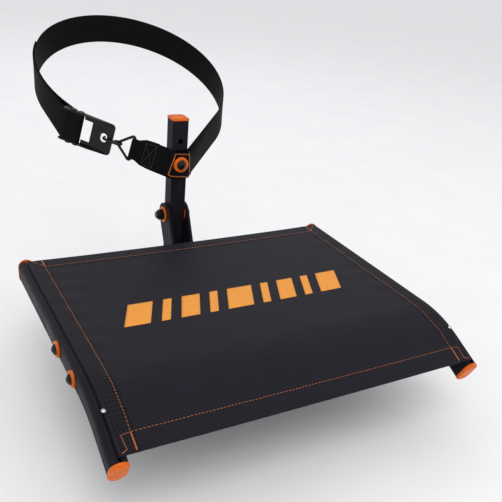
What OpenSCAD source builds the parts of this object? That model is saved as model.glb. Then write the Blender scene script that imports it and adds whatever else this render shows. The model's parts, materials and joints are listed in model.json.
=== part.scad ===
// Folding strap-on tree seat.
// Units are millimetres. The origin is on the back face of the post, on the seat's centre plane,
// at the height of the seat rails. +X is to the right seen from the front, +Y points into the tree
// and +Z points up.

/* [Seat] */
// Distance between the centre lines of the two seat rails
seat_w = 480; // [420:5:540]
// Straight length of a rail behind its bend
rail_straight = 283; // [260:1:320]
// Radius of the rail's bend, on its centre line
rail_bend_r = 154; // [120:1:200]
// Angle by which the front of a rail drops
rail_drop = 24; // [12:1:32]
// Straight length of a rail in front of its bend
rail_nose = 47; // [30:1:60]
// Width of the flat-oval rail tube
rail_w = 20.5; // [19:0.5:24]
// Height of the flat-oval rail tube
rail_h = 35; // [32:0.5:40]
// Distance from the back of the post to the rear end of the rails
rail_setback = 54.5; // [50:0.5:70]
// Thickness of the mesh seat
fabric_t = 2; // [1.5:0.1:3]

/* [Post] */
// Width and depth of the square post
post_w = 25; // [22:1:30]
// Height of the top of the post above the rails
post_top = 195; // [170:1:240]
// Depth of the foot of the post below the rails
post_foot = 118; // [90:1:160]
// Diameter of the hanging hole near the top of the post
hang_hole_d = 8; // [6:0.5:10]
// Height of the hanging hole
hang_hole_z = 164.5; // [158:0.5:175]

/* [Fold] */
// Height of the fold pivot
pivot_z = 46.5; // [40:0.5:60]
// Diameter of the pivot bolt
pivot_d = 10; // [8:1:12]
// Width of the flat arms
arm_w = 36; // [30:1:40]
// Thickness of the flat arms
arm_t = 4; // [3:0.5:5]
// Forward lean of the upright part of an arm
arm_lean = 26; // [20:1:30]

/* [Strap] */
// Radius of the trunk that the strap is closed round
trunk_r = 150; // [120:1:180]
// Sideways offset of the trunk's axis
trunk_x = -8; // [-15:1:15]
// Gap between the back of the post and the trunk
trunk_gap = 12; // [10:1:20]
// Height of the strap where it crosses the post
strap_z0 = 130; // [110:1:140]
// Rise of the strap for each millimetre towards the back of the trunk
strap_rise = 0.41; // [0:0.01:0.5]
// Width of the webbing
web_w = 44; // [36:1:50]
// Thickness of the webbing
web_t = 1.8; // [1.4:0.1:2.2]

/* [Hidden] */
$fn = 64;
// Growth of a swept section, set only while the front straight of a rail is drawn
$grow = 0;

steel = "#26202a";
plain_black = "#17161a";
orange = "#f07820";
mesh_grey = "#33323a";
eps = 0.01;
// Where two tangent pieces of one solid meet, one is this much bigger and runs this far into the other
joint_grow = 0.03;
joint_lap = 0.3;

// Rail section
rail_wall = 1.6;
slot_w = 4.4;
track_r = 4.4;
track_wall = 1.8;
track_z = rail_h / 2 - 7.5;
spline_r = 3;
cap_grow = 0.6;
cap_base_t = 2;
cap_dome_t = 2.5;
cap_inset = 2.5;
rail_arc = rail_bend_r * rail_drop * PI / 180;
rail_len = rail_straight + rail_arc + rail_nose;

// Seat fabric along the rails
fabric_from = 8;
fabric_to = rail_len - 5;
fabric_lift = 0.1;
fabric_z = rail_h / 2 + fabric_lift;
spline_from = 14;
spline_to = rail_len - 2;
rivet_at = 338;
rivet_d = 5;

// Cross frame and its bolts
bolt_at = [205, 268];
cross_y = -rail_setback - (bolt_at[0] + bolt_at[1]) / 2;
cross_z = -38;
cross_d = 25.4;
cross_wall = 1.6;
plate_t = 4;
plate_margin = 16;
rail_in_x = seat_w / 2 - rail_w / 2;
plate_in_x = rail_in_x - plate_t;
rail_out_x = seat_w / 2 + rail_w / 2;
rail_bolt_d = 8;
rail_washer_d = 20;
rail_washer_out = 3;

// Post
post_y = -post_w / 2;
post_wall = 1.6;
post_corner = 3;
cap_plate_t = 3;
strap_bolt_d = 6;
strap_bolt_z = 131;
bore_play = 0.2;

// Arms
pivot = [post_y, pivot_z];
arm_gap = 1.5;
arm_in_x = post_w / 2 + arm_gap;
arm_out_x = arm_in_x + arm_t;
arm_dir = [-sin(arm_lean), -cos(arm_lean)];
knee = pivot + arm_dir * (pivot_z - cross_z) / cos(arm_lean);
pivot_play = 0.05;
side_washer_t = 1.2;
outer_washer_t = 1.7;
outer_washer_gap = 0.3;
pivot_washer_d = 24;
stop_d = 16;
stop_bolt_d = 8;
stop_gap = 0.4;
stop = [-post_w - stop_gap - stop_d / 2, -18];

// Strap route, seen from above
web_gap = 0.15;
route_r = trunk_r + web_gap + web_t / 2;
trunk = [trunk_x, trunk_gap + trunk_r];
corner_r = post_corner + web_gap + web_t / 2;
corner_l = [-post_w / 2 + post_corner, -post_w + post_corner];
corner_rt = [post_w / 2 - post_corner, -post_w + post_corner];
strap_front_y = -post_w - web_gap - web_t / 2;

function unit(v) = v / norm(v);
function heading(v) = atan2(v.y, v.x);
function polar(r, a) = r * [cos(a), sin(a)];
// Direction of the outer common tangent from a post corner to the trunk: side is 1 left, -1 right
function tangent_heading(corner, side) =
    heading(trunk - corner) + side * asin((route_r - corner_r) / norm(trunk - corner));
left_heading = tangent_heading(corner_l, 1);
right_heading = tangent_heading(corner_rt, -1);
left_start = corner_l + polar(corner_r, left_heading + 90);
left_dir = polar(1, left_heading);
left_out = polar(1, left_heading + 90);
function strap_z(y) = strap_z0 + strap_rise * (y - strap_front_y);
left_slope = atan(strap_rise * left_dir.y);

// Stations along the left side of the strap, measured level from the post
ring_at = 62;
buckle_at = 92.5;
buckle_len = 80;
buckle_w = 49;
buckle_t = 2.2;
ring_wire_r = 2;
ring_half_h = 21.5;
ring_reach = 25;
ring_bend = 2.7;
ring_y = -0.2;
hook_wire_r = 2;
hook_eye_r = 5.6;
hook_hole_u = 14;
pin_u = 53;
pin_y = 4.2;
pin_r = 3.25;
slider_u = 65;
slider_r = 2.4;
slider_travel = 5;
tail_lift = web_t + 0.6;
tail_end_angle = 150;

// ---------------------------------------------------------------- shapes used more than once

// Places a child where the left side of the strap lies: local X runs along the strap away from the
// post, local Y points away from the trunk and local Z runs across the webbing.
module on_strap(at) {
    p = left_start + left_dir * at;
    translate([p.x, p.y, strap_z(p.y)]) rotate([0, -left_slope, left_heading]) children();
}

module rounded_rect(w, d, r) {
    square([w - 2 * r, d], center = true);
    square([w, d - 2 * r], center = true);
    for (x = [-1, 1], y = [-1, 1]) translate([x * (w / 2 - r), y * (d / 2 - r)]) circle(r);
}

module stadium(w, h) {
    square([w, h - w], center = true);
    for (y = [-1, 1]) translate([0, y * (h - w) / 2]) circle(d = w);
}

// Sweeps a section, drawn as across and up, along the side profile of a rail from one station to another
module rail_sweep(from, to) {
    bend_from = max(from, rail_straight);
    bend_to = min(to, rail_straight + rail_arc);
    if (from < rail_straight)
        translate([0, -rail_setback - from, 0]) rotate([90, 0, 0])
            linear_extrude(min(to, rail_straight) - from) children();
    if (bend_to > bend_from)
        translate([0, -rail_setback - rail_straight, -rail_bend_r])
            rotate([station_angle(bend_from), 0, 0]) rotate(a = 180, v = [1, 0, 1])
                rotate_extrude(angle = station_angle(bend_to) - station_angle(bend_from), $fn = 128)
                    translate([rail_bend_r, 0]) mirror([1, -1, 0]) children();
    if (to > rail_straight + rail_arc) {
        nose_from = max(from, rail_straight + rail_arc);
        lap = bend_to > bend_from ? joint_lap : 0;
        $grow = bend_to > bend_from ? joint_grow : 0;
        at_station(nose_from) translate([0, lap, 0]) rotate([90, 0, 0])
            linear_extrude(to - nose_from + lap) children();
    }
}

function station_angle(s) = min(max(s - rail_straight, 0), rail_arc) / rail_bend_r * 180 / PI;

// Places a child at a station on the rail's centre line, turned with the rail
module at_station(s) {
    a = station_angle(s);
    ahead = max(s - rail_straight - rail_arc, 0);
    back = min(s, rail_straight);
    translate([0,
        -rail_setback - back - rail_bend_r * sin(a) - ahead * cos(a),
        -rail_bend_r * (1 - cos(a)) - ahead * sin(a)])
        rotate([a, 0, 0]) children();
}

// A bolt along +X with its head's underside at x = 0 and its head on the -X side
module button_bolt(d, length, head_d, head_h) {
    rotate([0, 90, 0]) cylinder(d = d, h = length);
    ball_r = (pow(head_d / 2, 2) + pow(head_h, 2)) / (2 * head_h);
    difference() {
        intersection() {
            translate([ball_r - head_h, 0, 0]) sphere(ball_r);
            rotate([0, -90, 0]) cylinder(d = head_d, h = head_h);
        }
        translate([-head_h - eps, 0, 0]) rotate([0, 90, 0]) cylinder(d = d * 0.62, h = head_h * 0.6, $fn = 6);
    }
}

// A prevailing-torque nut along +X from x = 0
module lock_nut(d, across, height) {
    difference() {
        union() {
            rotate([0, 90, 0]) cylinder(d = across / cos(30), h = height * 0.72, $fn = 6);
            rotate([0, 90, 0]) cylinder(d = across * 0.86, h = height);
        }
        translate([-1, 0, 0]) rotate([0, 90, 0]) cylinder(d = d, h = height + 2);
    }
}

module washer(inner_d, outer_d, t) {
    rotate([0, 90, 0]) difference() {
        cylinder(d = outer_d, h = t);
        translate([0, 0, -1]) cylinder(d = inner_d, h = t + 2);
    }
}

// A bar of constant width between two points of the side plane, drawn as Y and Z
module strip(a, b, w) {
    translate(a) rotate(heading(b - a)) translate([0, -w / 2]) square([norm(b - a), w]);
}

// Extrudes a side-plane outline, drawn as Y and Z, from x to x + t
module side_plate(x, t) {
    translate([x, 0, 0]) rotate([90, 0, 90]) linear_extrude(t) children();
}

// A closed wire loop in the XY plane through the corners, each bent to a radius
module wire_loop(corners, wire_r, bend) {
    n = len(corners);
    splice = 0.2;
    function turn(i) = let (a = corners[(i + n - 1) % n], b = corners[i], c = corners[(i + 1) % n])
        acos(unit(b - a) * unit(c - b));
    function trim(i) = bend * tan(turn(i) / 2);
    for (i = [0 : n - 1]) {
        b = corners[i];
        c = corners[(i + 1) % n];
        out = unit(c - b);
        into = unit(b - corners[(i + n - 1) % n]);
        start = b - into * trim(i);
        translate(b + out * (trim(i) - splice)) rotate([0, 90, heading(out)])
            cylinder(r = wire_r + joint_grow, h = norm(c - b) - trim(i) - trim((i + 1) % n) + 2 * splice, $fn = 32);
        translate(start + [-into.y, into.x] * bend) rotate(heading(into) - 90)
            rotate_extrude(angle = turn(i), $fn = 48) translate([bend, 0]) circle(wire_r, $fn = 32);
    }
}

// ---------------------------------------------------------------- webbing

// One section of webbing is [centre, outward, across, width]
function level_section(p, a, w = web_w) =
    let (d = polar(1, a), slope = strap_rise * d.y)
    [[p.x, p.y, strap_z(p.y)], [d.y, -d.x, 0], unit([-slope * d.x, -slope * d.y, 1]), w];

function round_section(centre, r, a, w = web_w) = level_section(centre + polar(r, a), a + 90, w);

// A section near the buckle: u along it, y out from it, turned back by an angle
function buckle_section(at, y, turn = 0, w = web_w) =
    let (p = left_start + left_dir * at + left_out * y,
         line = left_start + left_dir * at,
         along = [left_dir.x * cos(left_slope), left_dir.y * cos(left_slope), sin(left_slope)],
         out = [left_out.x, left_out.y, 0])
    [[p.x, p.y, strap_z(line.y)],
     out * cos(turn) + along * sin(turn),
     [-left_dir.x * sin(left_slope), -left_dir.y * sin(left_slope), cos(left_slope)], w];

module band(sections, thick) {
    n = len(sections);
    points = [for (s = sections, k = [[-1, -1], [1, -1], [1, 1], [-1, 1]])
        s[0] + s[1] * k.x * thick / 2 + s[2] * k.y * s[3] / 2];
    sides = [for (i = [0 : n - 2], k = [0 : 3])
        let (a = 4 * i + k, b = 4 * i + (k + 1) % 4) each [[a, b, b + 4], [a, b + 4, a + 4]]];
    ends = [[3, 2, 1, 0], [4 * n - 4, 4 * n - 3, 4 * n - 2, 4 * n - 1]];
    polyhedron(points = points, faces = concat(ends, sides));
}

cos_slope = cos(left_slope);
pin_at = buckle_at + pin_u * cos_slope;
pin_wrap_r = pin_r + web_gap + web_t / 2;
ring_wrap_r = ring_wire_r + web_gap + web_t / 2;
gathered_w = 31;
tail_r = route_r + tail_lift;
tail_over_at = buckle_at + (slider_u + slider_travel + 4) * cos_slope;
tail_over_y = pin_y + slider_r + web_gap + web_t / 2 + 0.3;

// Angle round the trunk at which webbing that passes a point near the buckle leaves a circle
function leave_angle(at, y, r) =
    let (v = left_start + left_dir * at + left_out * y - trunk) heading(v) + 360 - acos(r / norm(v));

web_leaves = leave_angle(pin_at, pin_y - pin_wrap_r, route_r);
tail_leaves = leave_angle(tail_over_at, tail_over_y, tail_r);
trunk_from = right_heading - 90;
trunk_steps = 42;
tail_steps = 8;

strap_sections = concat(
    // sewn end, wrapped round the ring and stitched back on itself
    [for (s = [[26, -web_t - web_gap, web_w], [46, -web_t - web_gap, web_w - 3], [56, -2.6, gathered_w]])
        buckle_section(s.x, s.y, 180, s.z)],
    [for (f = [0 : 30 : 180])
        buckle_section(ring_at + ring_wrap_r * sin(f), ring_y - ring_wrap_r * cos(f), 180 - f, gathered_w)],
    [for (s = [[56, 1.6, gathered_w], [46, 0, web_w - 3], [26, 0, web_w]]) buckle_section(s.x, s.y, 0, s.z)],
    // across the front of the post
    [for (k = [0 : 3]) round_section(corner_l, corner_r, left_heading + 90 + k * (180 - left_heading) / 3)],
    [for (k = [0 : 3]) round_section(corner_rt, corner_r, 270 + k * right_heading / 3)],
    // round the trunk
    [for (k = [0 : trunk_steps])
        round_section(trunk, route_r, trunk_from + k * (web_leaves - trunk_from) / trunk_steps)],
    // round the buckle's pin and back as the tail
    [for (f = [0 : 30 : 180])
        buckle_section(pin_at - pin_wrap_r * sin(f), pin_y - pin_wrap_r * cos(f), f)],
    [buckle_section(tail_over_at, tail_over_y, 180)],
    [for (k = [0 : tail_steps])
        let (a = tail_leaves + k * (tail_end_angle - tail_leaves) / tail_steps)
        level_section(trunk + polar(tail_r, a), a - 90)]
);

patch_lift = web_t + 0.1;
patch_h = web_w - 3;
patch_reach = 6;
patch_sections = concat(
    [level_section(left_start + left_dir * patch_reach + left_out * patch_lift, left_heading + 180, patch_h)],
    [for (k = [0 : 3])
        round_section(corner_l, corner_r + patch_lift, left_heading + 90 + k * (180 - left_heading) / 3, patch_h)],
    [for (k = [0 : 3]) round_section(corner_rt, corner_r + patch_lift, 270 + k * right_heading / 3, patch_h)],
    [level_section(corner_rt + polar(corner_r + patch_lift, trunk_from) + polar(patch_reach, right_heading),
        right_heading, patch_h)]
);
patch_face_y = strap_front_y - web_t / 2 - patch_lift;

module strap_bolt_hole(d) {
    translate([0, -post_w * 2, strap_bolt_z]) rotate([-90, 0, 0]) cylinder(d = d, h = post_w * 3);
}

module strap_web() {
    color(plain_black) difference() {
        band(strap_sections, web_t);
        strap_bolt_hole(strap_bolt_d + 2 * bore_play);
    }
}

module strap_patch() {
    color(plain_black) difference() {
        band(patch_sections, web_t);
        strap_bolt_hole(strap_bolt_d + 2 * bore_play);
    }
}

// ---------------------------------------------------------------- post

module post_tube() {
    color(steel) difference() {
        translate([0, post_y, -post_foot]) linear_extrude(post_foot + post_top) difference() {
            rounded_rect(post_w, post_w, post_corner);
            rounded_rect(post_w - 2 * post_wall, post_w - 2 * post_wall, post_corner - post_wall);
        }
        translate([0, -post_w - 1, hang_hole_z]) rotate([-90, 0, 0]) cylinder(d = hang_hole_d, h = post_w + 2);
        translate([0, -post_w - 1, strap_bolt_z]) rotate([-90, 0, 0])
            cylinder(d = strap_bolt_d + 2 * bore_play, h = post_w + 2);
        translate([-post_w, post_y, pivot_z]) rotate([0, 90, 0])
            cylinder(d = pivot_d + 2 * pivot_play, h = 2 * post_w);
        for (z = brace_bolt_z) translate([0, -post_w - 1, z]) rotate([-90, 0, 0])
            cylinder(d = brace_bolt_d + 2 * bore_play, h = post_w + 2);
    }
}

// A moulded cap with a plug inside the tube, lying on z = 0 with its plug below
module square_cap() {
    w = post_w + 2 * cap_grow;
    plug_w = post_w - 2 * post_wall - 0.4;
    color(orange) {
        hull() {
            linear_extrude(cap_plate_t - 1.4) rounded_rect(w, w, post_corner, $fn = 32);
            linear_extrude(cap_plate_t) rounded_rect(w - 5, w - 5, post_corner - 1, $fn = 32);
        }
        translate([0, 0, -12]) linear_extrude(12 + eps) difference() {
            rounded_rect(plug_w, plug_w, 1.4);
            rounded_rect(plug_w - 4, plug_w - 4, 1);
        }
    }
}

module post_top_cap() {
    translate([0, post_y, post_top]) square_cap();
}

module post_foot_cap() {
    translate([0, post_y, -post_foot]) mirror([0, 0, 1]) square_cap();
}

// Vee bracket with toothed wings that bite into the bark
brace_t = 4;
brace_h = 46;
brace_web_w = 34;
brace_wing = 44;
brace_angle = 32;
brace_z = -post_foot + 8;
brace_bolt_d = 6;
brace_bolt_z = [brace_z + 11, brace_z + brace_h - 11];
tooth_count = 4;
tooth_depth = 7;

module tree_brace() {
    tooth_h = brace_h / tooth_count;
    color(steel) difference() {
        translate([0, 0.05, brace_z]) {
            difference() {
                translate([-brace_web_w / 2, 0, 0]) cube([brace_web_w, brace_t, brace_h]);
                for (z = brace_bolt_z) translate([0, -1, z - brace_z]) rotate([-90, 0, 0])
                    cylinder(d = brace_bolt_d + 2 * bore_play, h = brace_t + 2);
            }
            for (side = [0, 1]) mirror([side, 0, 0]) translate([brace_web_w / 2 - 0.6, 0, 0])
                rotate([0, 0, brace_angle]) rotate([90, 0, 0]) mirror([0, 0, 1]) linear_extrude(brace_t)
                    polygon(concat([[0, 0], [brace_wing - tooth_depth, 0]],
                        [for (k = [0 : tooth_count - 1]) each
                            [[brace_wing, (k + 0.5) * tooth_h], [brace_wing - tooth_depth, (k + 1) * tooth_h]]],
                        [[0, brace_h]]));
        }
    }
}

brace_head_d = 11;
brace_head_h = 3.4;

module brace_bolts() {
    color(plain_black) for (z = brace_bolt_z) {
        translate([0, -post_w - 0.05, z]) rotate([0, 0, 90])
            button_bolt(brace_bolt_d, post_w + brace_t + 5, brace_head_d, brace_head_h);
        translate([0, brace_t + 0.1, z]) rotate([0, 0, 90]) lock_nut(brace_bolt_d + 0.1, 9.5, 4.6);
    }
}

// ---------------------------------------------------------------- strap fixing

strap_washer_t = 2.4;
strap_washer_d = 23;
strap_head_d = 15;
strap_head_h = 5;
strap_washer_y = patch_face_y - 0.05 - strap_washer_t;
strap_nut_h = 5;

module strap_washer() {
    color(orange) translate([0, strap_washer_y, strap_bolt_z]) rotate([-90, 0, 0]) difference() {
        union() {
            cylinder(d = strap_washer_d, h = strap_washer_t);
            translate([0, 0, -0.8]) cylinder(d1 = strap_washer_d - 3.4, d2 = strap_washer_d, h = 0.8);
        }
        translate([0, 0, -2]) cylinder(d = strap_bolt_d + 2 * bore_play, h = strap_washer_t + 3);
    }
}

module strap_bolt() {
    color(plain_black) translate([0, strap_washer_y - 0.85, strap_bolt_z]) rotate([0, 0, 90])
        button_bolt(strap_bolt_d, -strap_washer_y + strap_nut_h + 2, strap_head_d, strap_head_h);
}

module strap_nut() {
    color(plain_black) translate([0, 0.1, strap_bolt_z]) rotate([0, 0, 90])
        lock_nut(strap_bolt_d + 0.1, 10, strap_nut_h);
}

// ---------------------------------------------------------------- buckle, ring and hook

window_u = [34, 47];
window_h = 32;
flange_t = 2.2;
flange_h = 9;

module buckle_frame() {
    color(plain_black) on_strap(buckle_at) {
        rotate([-90, 0, 0]) mirror([0, 1, 0]) difference() {
            linear_extrude(buckle_t) difference() {
                union() {
                    translate([6, -buckle_w / 2]) square([window_u[1] - 6, buckle_w]);
                    translate([0, -buckle_w / 2 + 6]) square([12, buckle_w - 12]);
                    for (y = [-1, 1]) translate([6, y * (buckle_w / 2 - 6)]) circle(6);
                }
                translate([window_u[0], -window_h / 2]) square([window_u[1] - window_u[0] + 1, window_h]);
                for (y = [-1, 1]) translate([hook_hole_u, y * 2]) circle(5);
                translate([hook_hole_u - 5, -2]) square([10, 4]);
            }
        }
        for (side = [0, 1]) mirror([0, 0, side]) difference() {
            translate([0, 0, buckle_w / 2 - flange_t]) linear_extrude(flange_t) polygon([
                [6, 0], [buckle_len - 4, 0], [buckle_len, 3], [buckle_len, flange_h - 3],
                [buckle_len - 4, flange_h], [window_u[0], flange_h - 1.5], [10, buckle_t + 1.4], [6, buckle_t]]);
            translate([pin_u, pin_y, 0]) cylinder(r = pin_r + 0.05, h = buckle_w);
            translate([slider_u, pin_y, 0]) cylinder(r = slider_r + 0.15, h = buckle_w);
            translate([slider_u + slider_travel, pin_y, 0]) cylinder(r = slider_r + 0.15, h = buckle_w);
            translate([slider_u, pin_y - slider_r - 0.15, 0]) cube([slider_travel, 2 * slider_r + 0.3, buckle_w]);
        }
    }
}

module buckle_pin() {
    head_t = 1.2;
    color(plain_black) on_strap(buckle_at) translate([pin_u, pin_y, 0]) {
        cylinder(r = pin_r, h = buckle_w + 0.2, center = true);
        for (side = [0, 1]) mirror([0, 0, side]) translate([0, 0, buckle_w / 2 + 0.05])
            cylinder(r = pin_r + 1, h = head_t);
    }
}

module buckle_slider() {
    head_t = 1.4;
    color(plain_black) on_strap(buckle_at) translate([slider_u, pin_y, 0]) {
        cylinder(r = slider_r, h = buckle_w + 1, center = true);
        for (side = [0, 1]) mirror([0, 0, side]) translate([0, 0, buckle_w / 2 + 0.3])
            cylinder(r = slider_r + 1.6, h = head_t);
    }
}

ring_angle = atan(ring_half_h / ring_reach);
eye_inset = (ring_wire_r + hook_wire_r + 0.4) / sin(ring_angle);
eye_u = ring_reach - eye_inset + hook_eye_r;

module delta_ring() {
    color(plain_black) on_strap(ring_at) translate([0, ring_y, 0]) rotate([90, 0, 0])
        wire_loop([[0, -ring_half_h], [ring_reach, 0], [0, ring_half_h]], ring_wire_r, ring_bend);
}

hook_bend = 4;
hook_shank_y = hook_eye_r;

module strap_hook() {
    hole_u = (buckle_at - ring_at) / cos_slope + hook_hole_u;
    shank = hole_u - hook_bend - eye_u;
    color(plain_black) on_strap(ring_at) translate([0, ring_y, 0]) {
        translate([eye_u, 0, 0]) rotate([0, 0, 90])
            rotate_extrude(angle = 350, $fn = 48) translate([hook_eye_r, 0]) circle(hook_wire_r, $fn = 32);
        translate([eye_u, hook_shank_y, 0]) rotate([0, 90, 0]) cylinder(r = hook_wire_r, h = shank, $fn = 32);
        translate([eye_u + shank, hook_shank_y - hook_bend, 0])
            rotate_extrude(angle = 90, $fn = 48) translate([hook_bend, 0]) circle(hook_wire_r, $fn = 32);
        translate([hole_u, hook_shank_y - hook_bend, 0]) rotate([90, 0, 0])
            cylinder(r = hook_wire_r, h = 4.5, $fn = 32);
        translate([hole_u, hook_shank_y - hook_bend - 4.5, 0]) sphere(hook_wire_r, $fn = 32);
    }
}

// ---------------------------------------------------------------- fold pivot and arms

pivot_nut_h = 8.5;
pivot_tip = 2.5;
pivot_head_h = 5.6;
outer_washer_x = arm_out_x + outer_washer_gap;

module at_pivot() {
    translate([0, post_y, pivot_z]) children();
}

module pivot_bolt() {
    from = outer_washer_x + outer_washer_t + 0.05;
    color(plain_black) at_pivot() mirror([1, 0, 0]) translate([-from, 0, 0])
        button_bolt(pivot_d, 2 * from + pivot_nut_h + pivot_tip, 18, pivot_head_h);
}

module pivot_nut() {
    color(plain_black) at_pivot() mirror([1, 0, 0]) translate([outer_washer_x + outer_washer_t + 0.05, 0, 0])
        lock_nut(pivot_d + 0.1, 16, pivot_nut_h);
}

module pivot_outer_washers() {
    color(orange) at_pivot() for (side = [0, 1]) mirror([side, 0, 0]) translate([outer_washer_x, 0, 0])
        washer(pivot_d + 0.2, pivot_washer_d, outer_washer_t);
}

module pivot_inner_washers() {
    color(orange) at_pivot() for (side = [0, 1]) mirror([side, 0, 0]) translate([post_w / 2 + 0.02, 0, 0])
        washer(pivot_d + 0.2, pivot_washer_d, side_washer_t);
}

arm_front_w = 40;

module arm_outline() {
    difference() {
        union() {
            translate(pivot) circle(d = arm_w + 2 * joint_grow);
            strip(pivot, knee, arm_w);
            translate(knee) circle(d = arm_w + 2 * joint_grow);
            strip(knee, [cross_y, cross_z], arm_w);
            translate([cross_y, cross_z]) circle(d = arm_front_w);
        }
        translate(pivot) circle(d = pivot_d + 2 * pivot_play);
        translate([cross_y, cross_z]) circle(d = cross_d + 0.1);
        translate(stop) circle(d = stop_bolt_d + 2 * bore_play);
    }
}

module left_arm() {
    color(steel) side_plate(-arm_out_x, arm_t) arm_outline();
}

module right_arm() {
    color(steel) side_plate(arm_in_x, arm_t) arm_outline();
}

module at_stop() {
    translate([0, stop.x, stop.y]) children();
}

module stop_bolt() {
    color(plain_black) at_stop() mirror([1, 0, 0]) translate([-arm_out_x - 0.05, 0, 0])
        button_bolt(stop_bolt_d, 2 * arm_out_x + 9, 14, 4.4);
}

module stop_nut() {
    color(plain_black) at_stop() mirror([1, 0, 0]) translate([arm_out_x + 0.05, 0, 0])
        lock_nut(stop_bolt_d + 0.1, 13, 7);
}

module stop_sleeve() {
    color(plain_black) at_stop() translate([-arm_in_x + 0.05, 0, 0])
        washer(stop_bolt_d + 2 * bore_play, stop_d, 2 * arm_in_x - 0.1);
}

// ---------------------------------------------------------------- cross frame

module cross_tube() {
    color(steel) translate([-plate_in_x + 0.05, cross_y, cross_z])
        washer(cross_d - 2 * cross_wall, cross_d, 2 * plate_in_x - 0.1);
}

module end_plate_outline() {
    half = (bolt_at[1] - bolt_at[0]) / 2;
    difference() {
        union() {
            strip([cross_y - half, 0], [cross_y + half, 0], 24);
            for (s = [-1, 1]) {
                translate([cross_y + s * half, 0]) circle(d = 24);
                strip([cross_y + s * half * 0.55, 0], [cross_y, cross_z], 24);
            }
            translate([cross_y, cross_z]) circle(d = 34);
        }
        for (s = [-1, 1]) translate([cross_y + s * half, 0]) circle(d = rail_bolt_d + 2 * bore_play);
    }
}

module left_end_plate() {
    color(steel) side_plate(-rail_in_x + 0.05, plate_t - 0.05) end_plate_outline();
}

module right_end_plate() {
    color(steel) side_plate(plate_in_x, plate_t - 0.05) end_plate_outline();
}

rail_head_d = 14.5;
rail_head_h = 4.4;
rail_nut_h = 8;

// The four places where a rail is bolted to the cross frame, with +X pointing in towards the seat
module at_rail_bolts() {
    for (side = [0, 1], s = bolt_at) mirror([side, 0, 0])
        translate([-rail_out_x, -rail_setback - s, 0]) children();
}

module rail_bolts() {
    color(plain_black) at_rail_bolts() translate([-rail_washer_out - 0.05, 0, 0])
        button_bolt(rail_bolt_d, rail_washer_out + rail_w + plate_t + rail_nut_h + 3, rail_head_d, rail_head_h);
}

// Saddle washers shaped to the side of the rail
module rail_washers() {
    color(orange) difference() {
        at_rail_bolts() translate([-rail_washer_out, 0, 0])
            washer(rail_bolt_d + 2 * bore_play, rail_washer_d, rail_washer_out + 2.5);
        for (x = [-1, 1]) translate([x * seat_w / 2, 0, 0])
            rail_sweep(bolt_at[0] - 20, bolt_at[1] + 12) stadium(rail_w + 0.1, rail_h + 0.1);
    }
}

module rail_nuts() {
    color(plain_black) at_rail_bolts() translate([rail_w + plate_t + 0.05, 0, 0])
        lock_nut(rail_bolt_d + 0.1, 13, rail_nut_h);
}

// ---------------------------------------------------------------- rails

module rail_section() {
    difference() {
        stadium(rail_w + 2 * $grow, rail_h + 2 * $grow);
        difference() {
            stadium(rail_w - 2 * rail_wall - 2 * $grow, rail_h - 2 * rail_wall - 2 * $grow);
            translate([0, track_z]) circle(track_r + track_wall + $grow);
        }
        translate([0, track_z]) circle(track_r - $grow);
        translate([$grow - slot_w / 2, track_z]) square([slot_w - 2 * $grow, rail_h]);
    }
}

module rail(x) {
    color(steel) difference() {
        translate([x, 0, 0]) rail_sweep(0, rail_len) rail_section();
        for (s = bolt_at) translate([x - rail_w, -rail_setback - s, 0]) rotate([0, 90, 0])
            cylinder(d = rail_bolt_d + 2 * bore_play, h = 2 * rail_w);
    }
}

module left_rail() {
    rail(-seat_w / 2);
}

module right_rail() {
    rail(seat_w / 2);
}

// End cap with its plug pointing along +Y, which is into the rear end when turned round
module rail_cap() {
    plug_w = rail_w - 2 * rail_wall - 0.5;
    plug_h = rail_h / 2 + track_z - track_r - track_wall - rail_wall - plug_w / 2 - 0.6;
    color(orange) {
        rotate([90, 0, 0]) {
            linear_extrude(cap_base_t) stadium(rail_w + 2 * cap_grow, rail_h + 2 * cap_grow);
            hull() {
                translate([0, 0, cap_base_t]) linear_extrude(eps)
                    stadium(rail_w + 2 * cap_grow, rail_h + 2 * cap_grow, $fn = 32);
                translate([0, 0, cap_base_t + cap_dome_t * 0.55]) linear_extrude(eps)
                    stadium(rail_w + 2 * cap_grow - cap_inset, rail_h + 2 * cap_grow - cap_inset, $fn = 32);
                translate([0, 0, cap_base_t + cap_dome_t - eps]) linear_extrude(eps)
                    stadium(rail_w - 2.8 * cap_inset, rail_h - 2.8 * cap_inset, $fn = 32);
            }
        }
        translate([0, -eps, -rail_h / 2 + rail_wall + 0.25 + plug_w / 2]) rotate([-90, 0, 0]) linear_extrude(14) {
            circle(d = plug_w);
            translate([-plug_w / 2, -plug_h]) square([plug_w, plug_h]);
        }
    }
}

module rear_cap(x) {
    translate([x, 0.05, 0]) at_station(0) mirror([0, 1, 0]) rail_cap();
}

module front_cap(x) {
    translate([x, 0, 0]) at_station(rail_len + 0.05) rail_cap();
}

module left_rear_cap() {
    rear_cap(-seat_w / 2);
}

module right_rear_cap() {
    rear_cap(seat_w / 2);
}

module left_front_cap() {
    front_cap(-seat_w / 2);
}

module right_front_cap() {
    front_cap(seat_w / 2);
}

// ---------------------------------------------------------------- seat sling

module spline(x) {
    color(plain_black) translate([x, 0, 0]) rail_sweep(spline_from, spline_to)
        translate([0, track_z]) circle(spline_r + $grow, $fn = 32);
}

module left_spline() {
    spline(-seat_w / 2);
}

module right_spline() {
    spline(seat_w / 2);
}

rivet_head_h = 1.6;

module spline_rivets() {
    color("silver") for (x = [-1, 1]) translate([x * seat_w / 2, 0, 0]) at_station(rivet_at)
        translate([0, 0, fabric_z + fabric_t + 0.05]) intersection() {
            translate([0, 0, rivet_head_h - rivet_d * 0.7]) sphere(rivet_d * 0.7);
            cylinder(d = rivet_d, h = rivet_head_h);
        }
}

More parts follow.
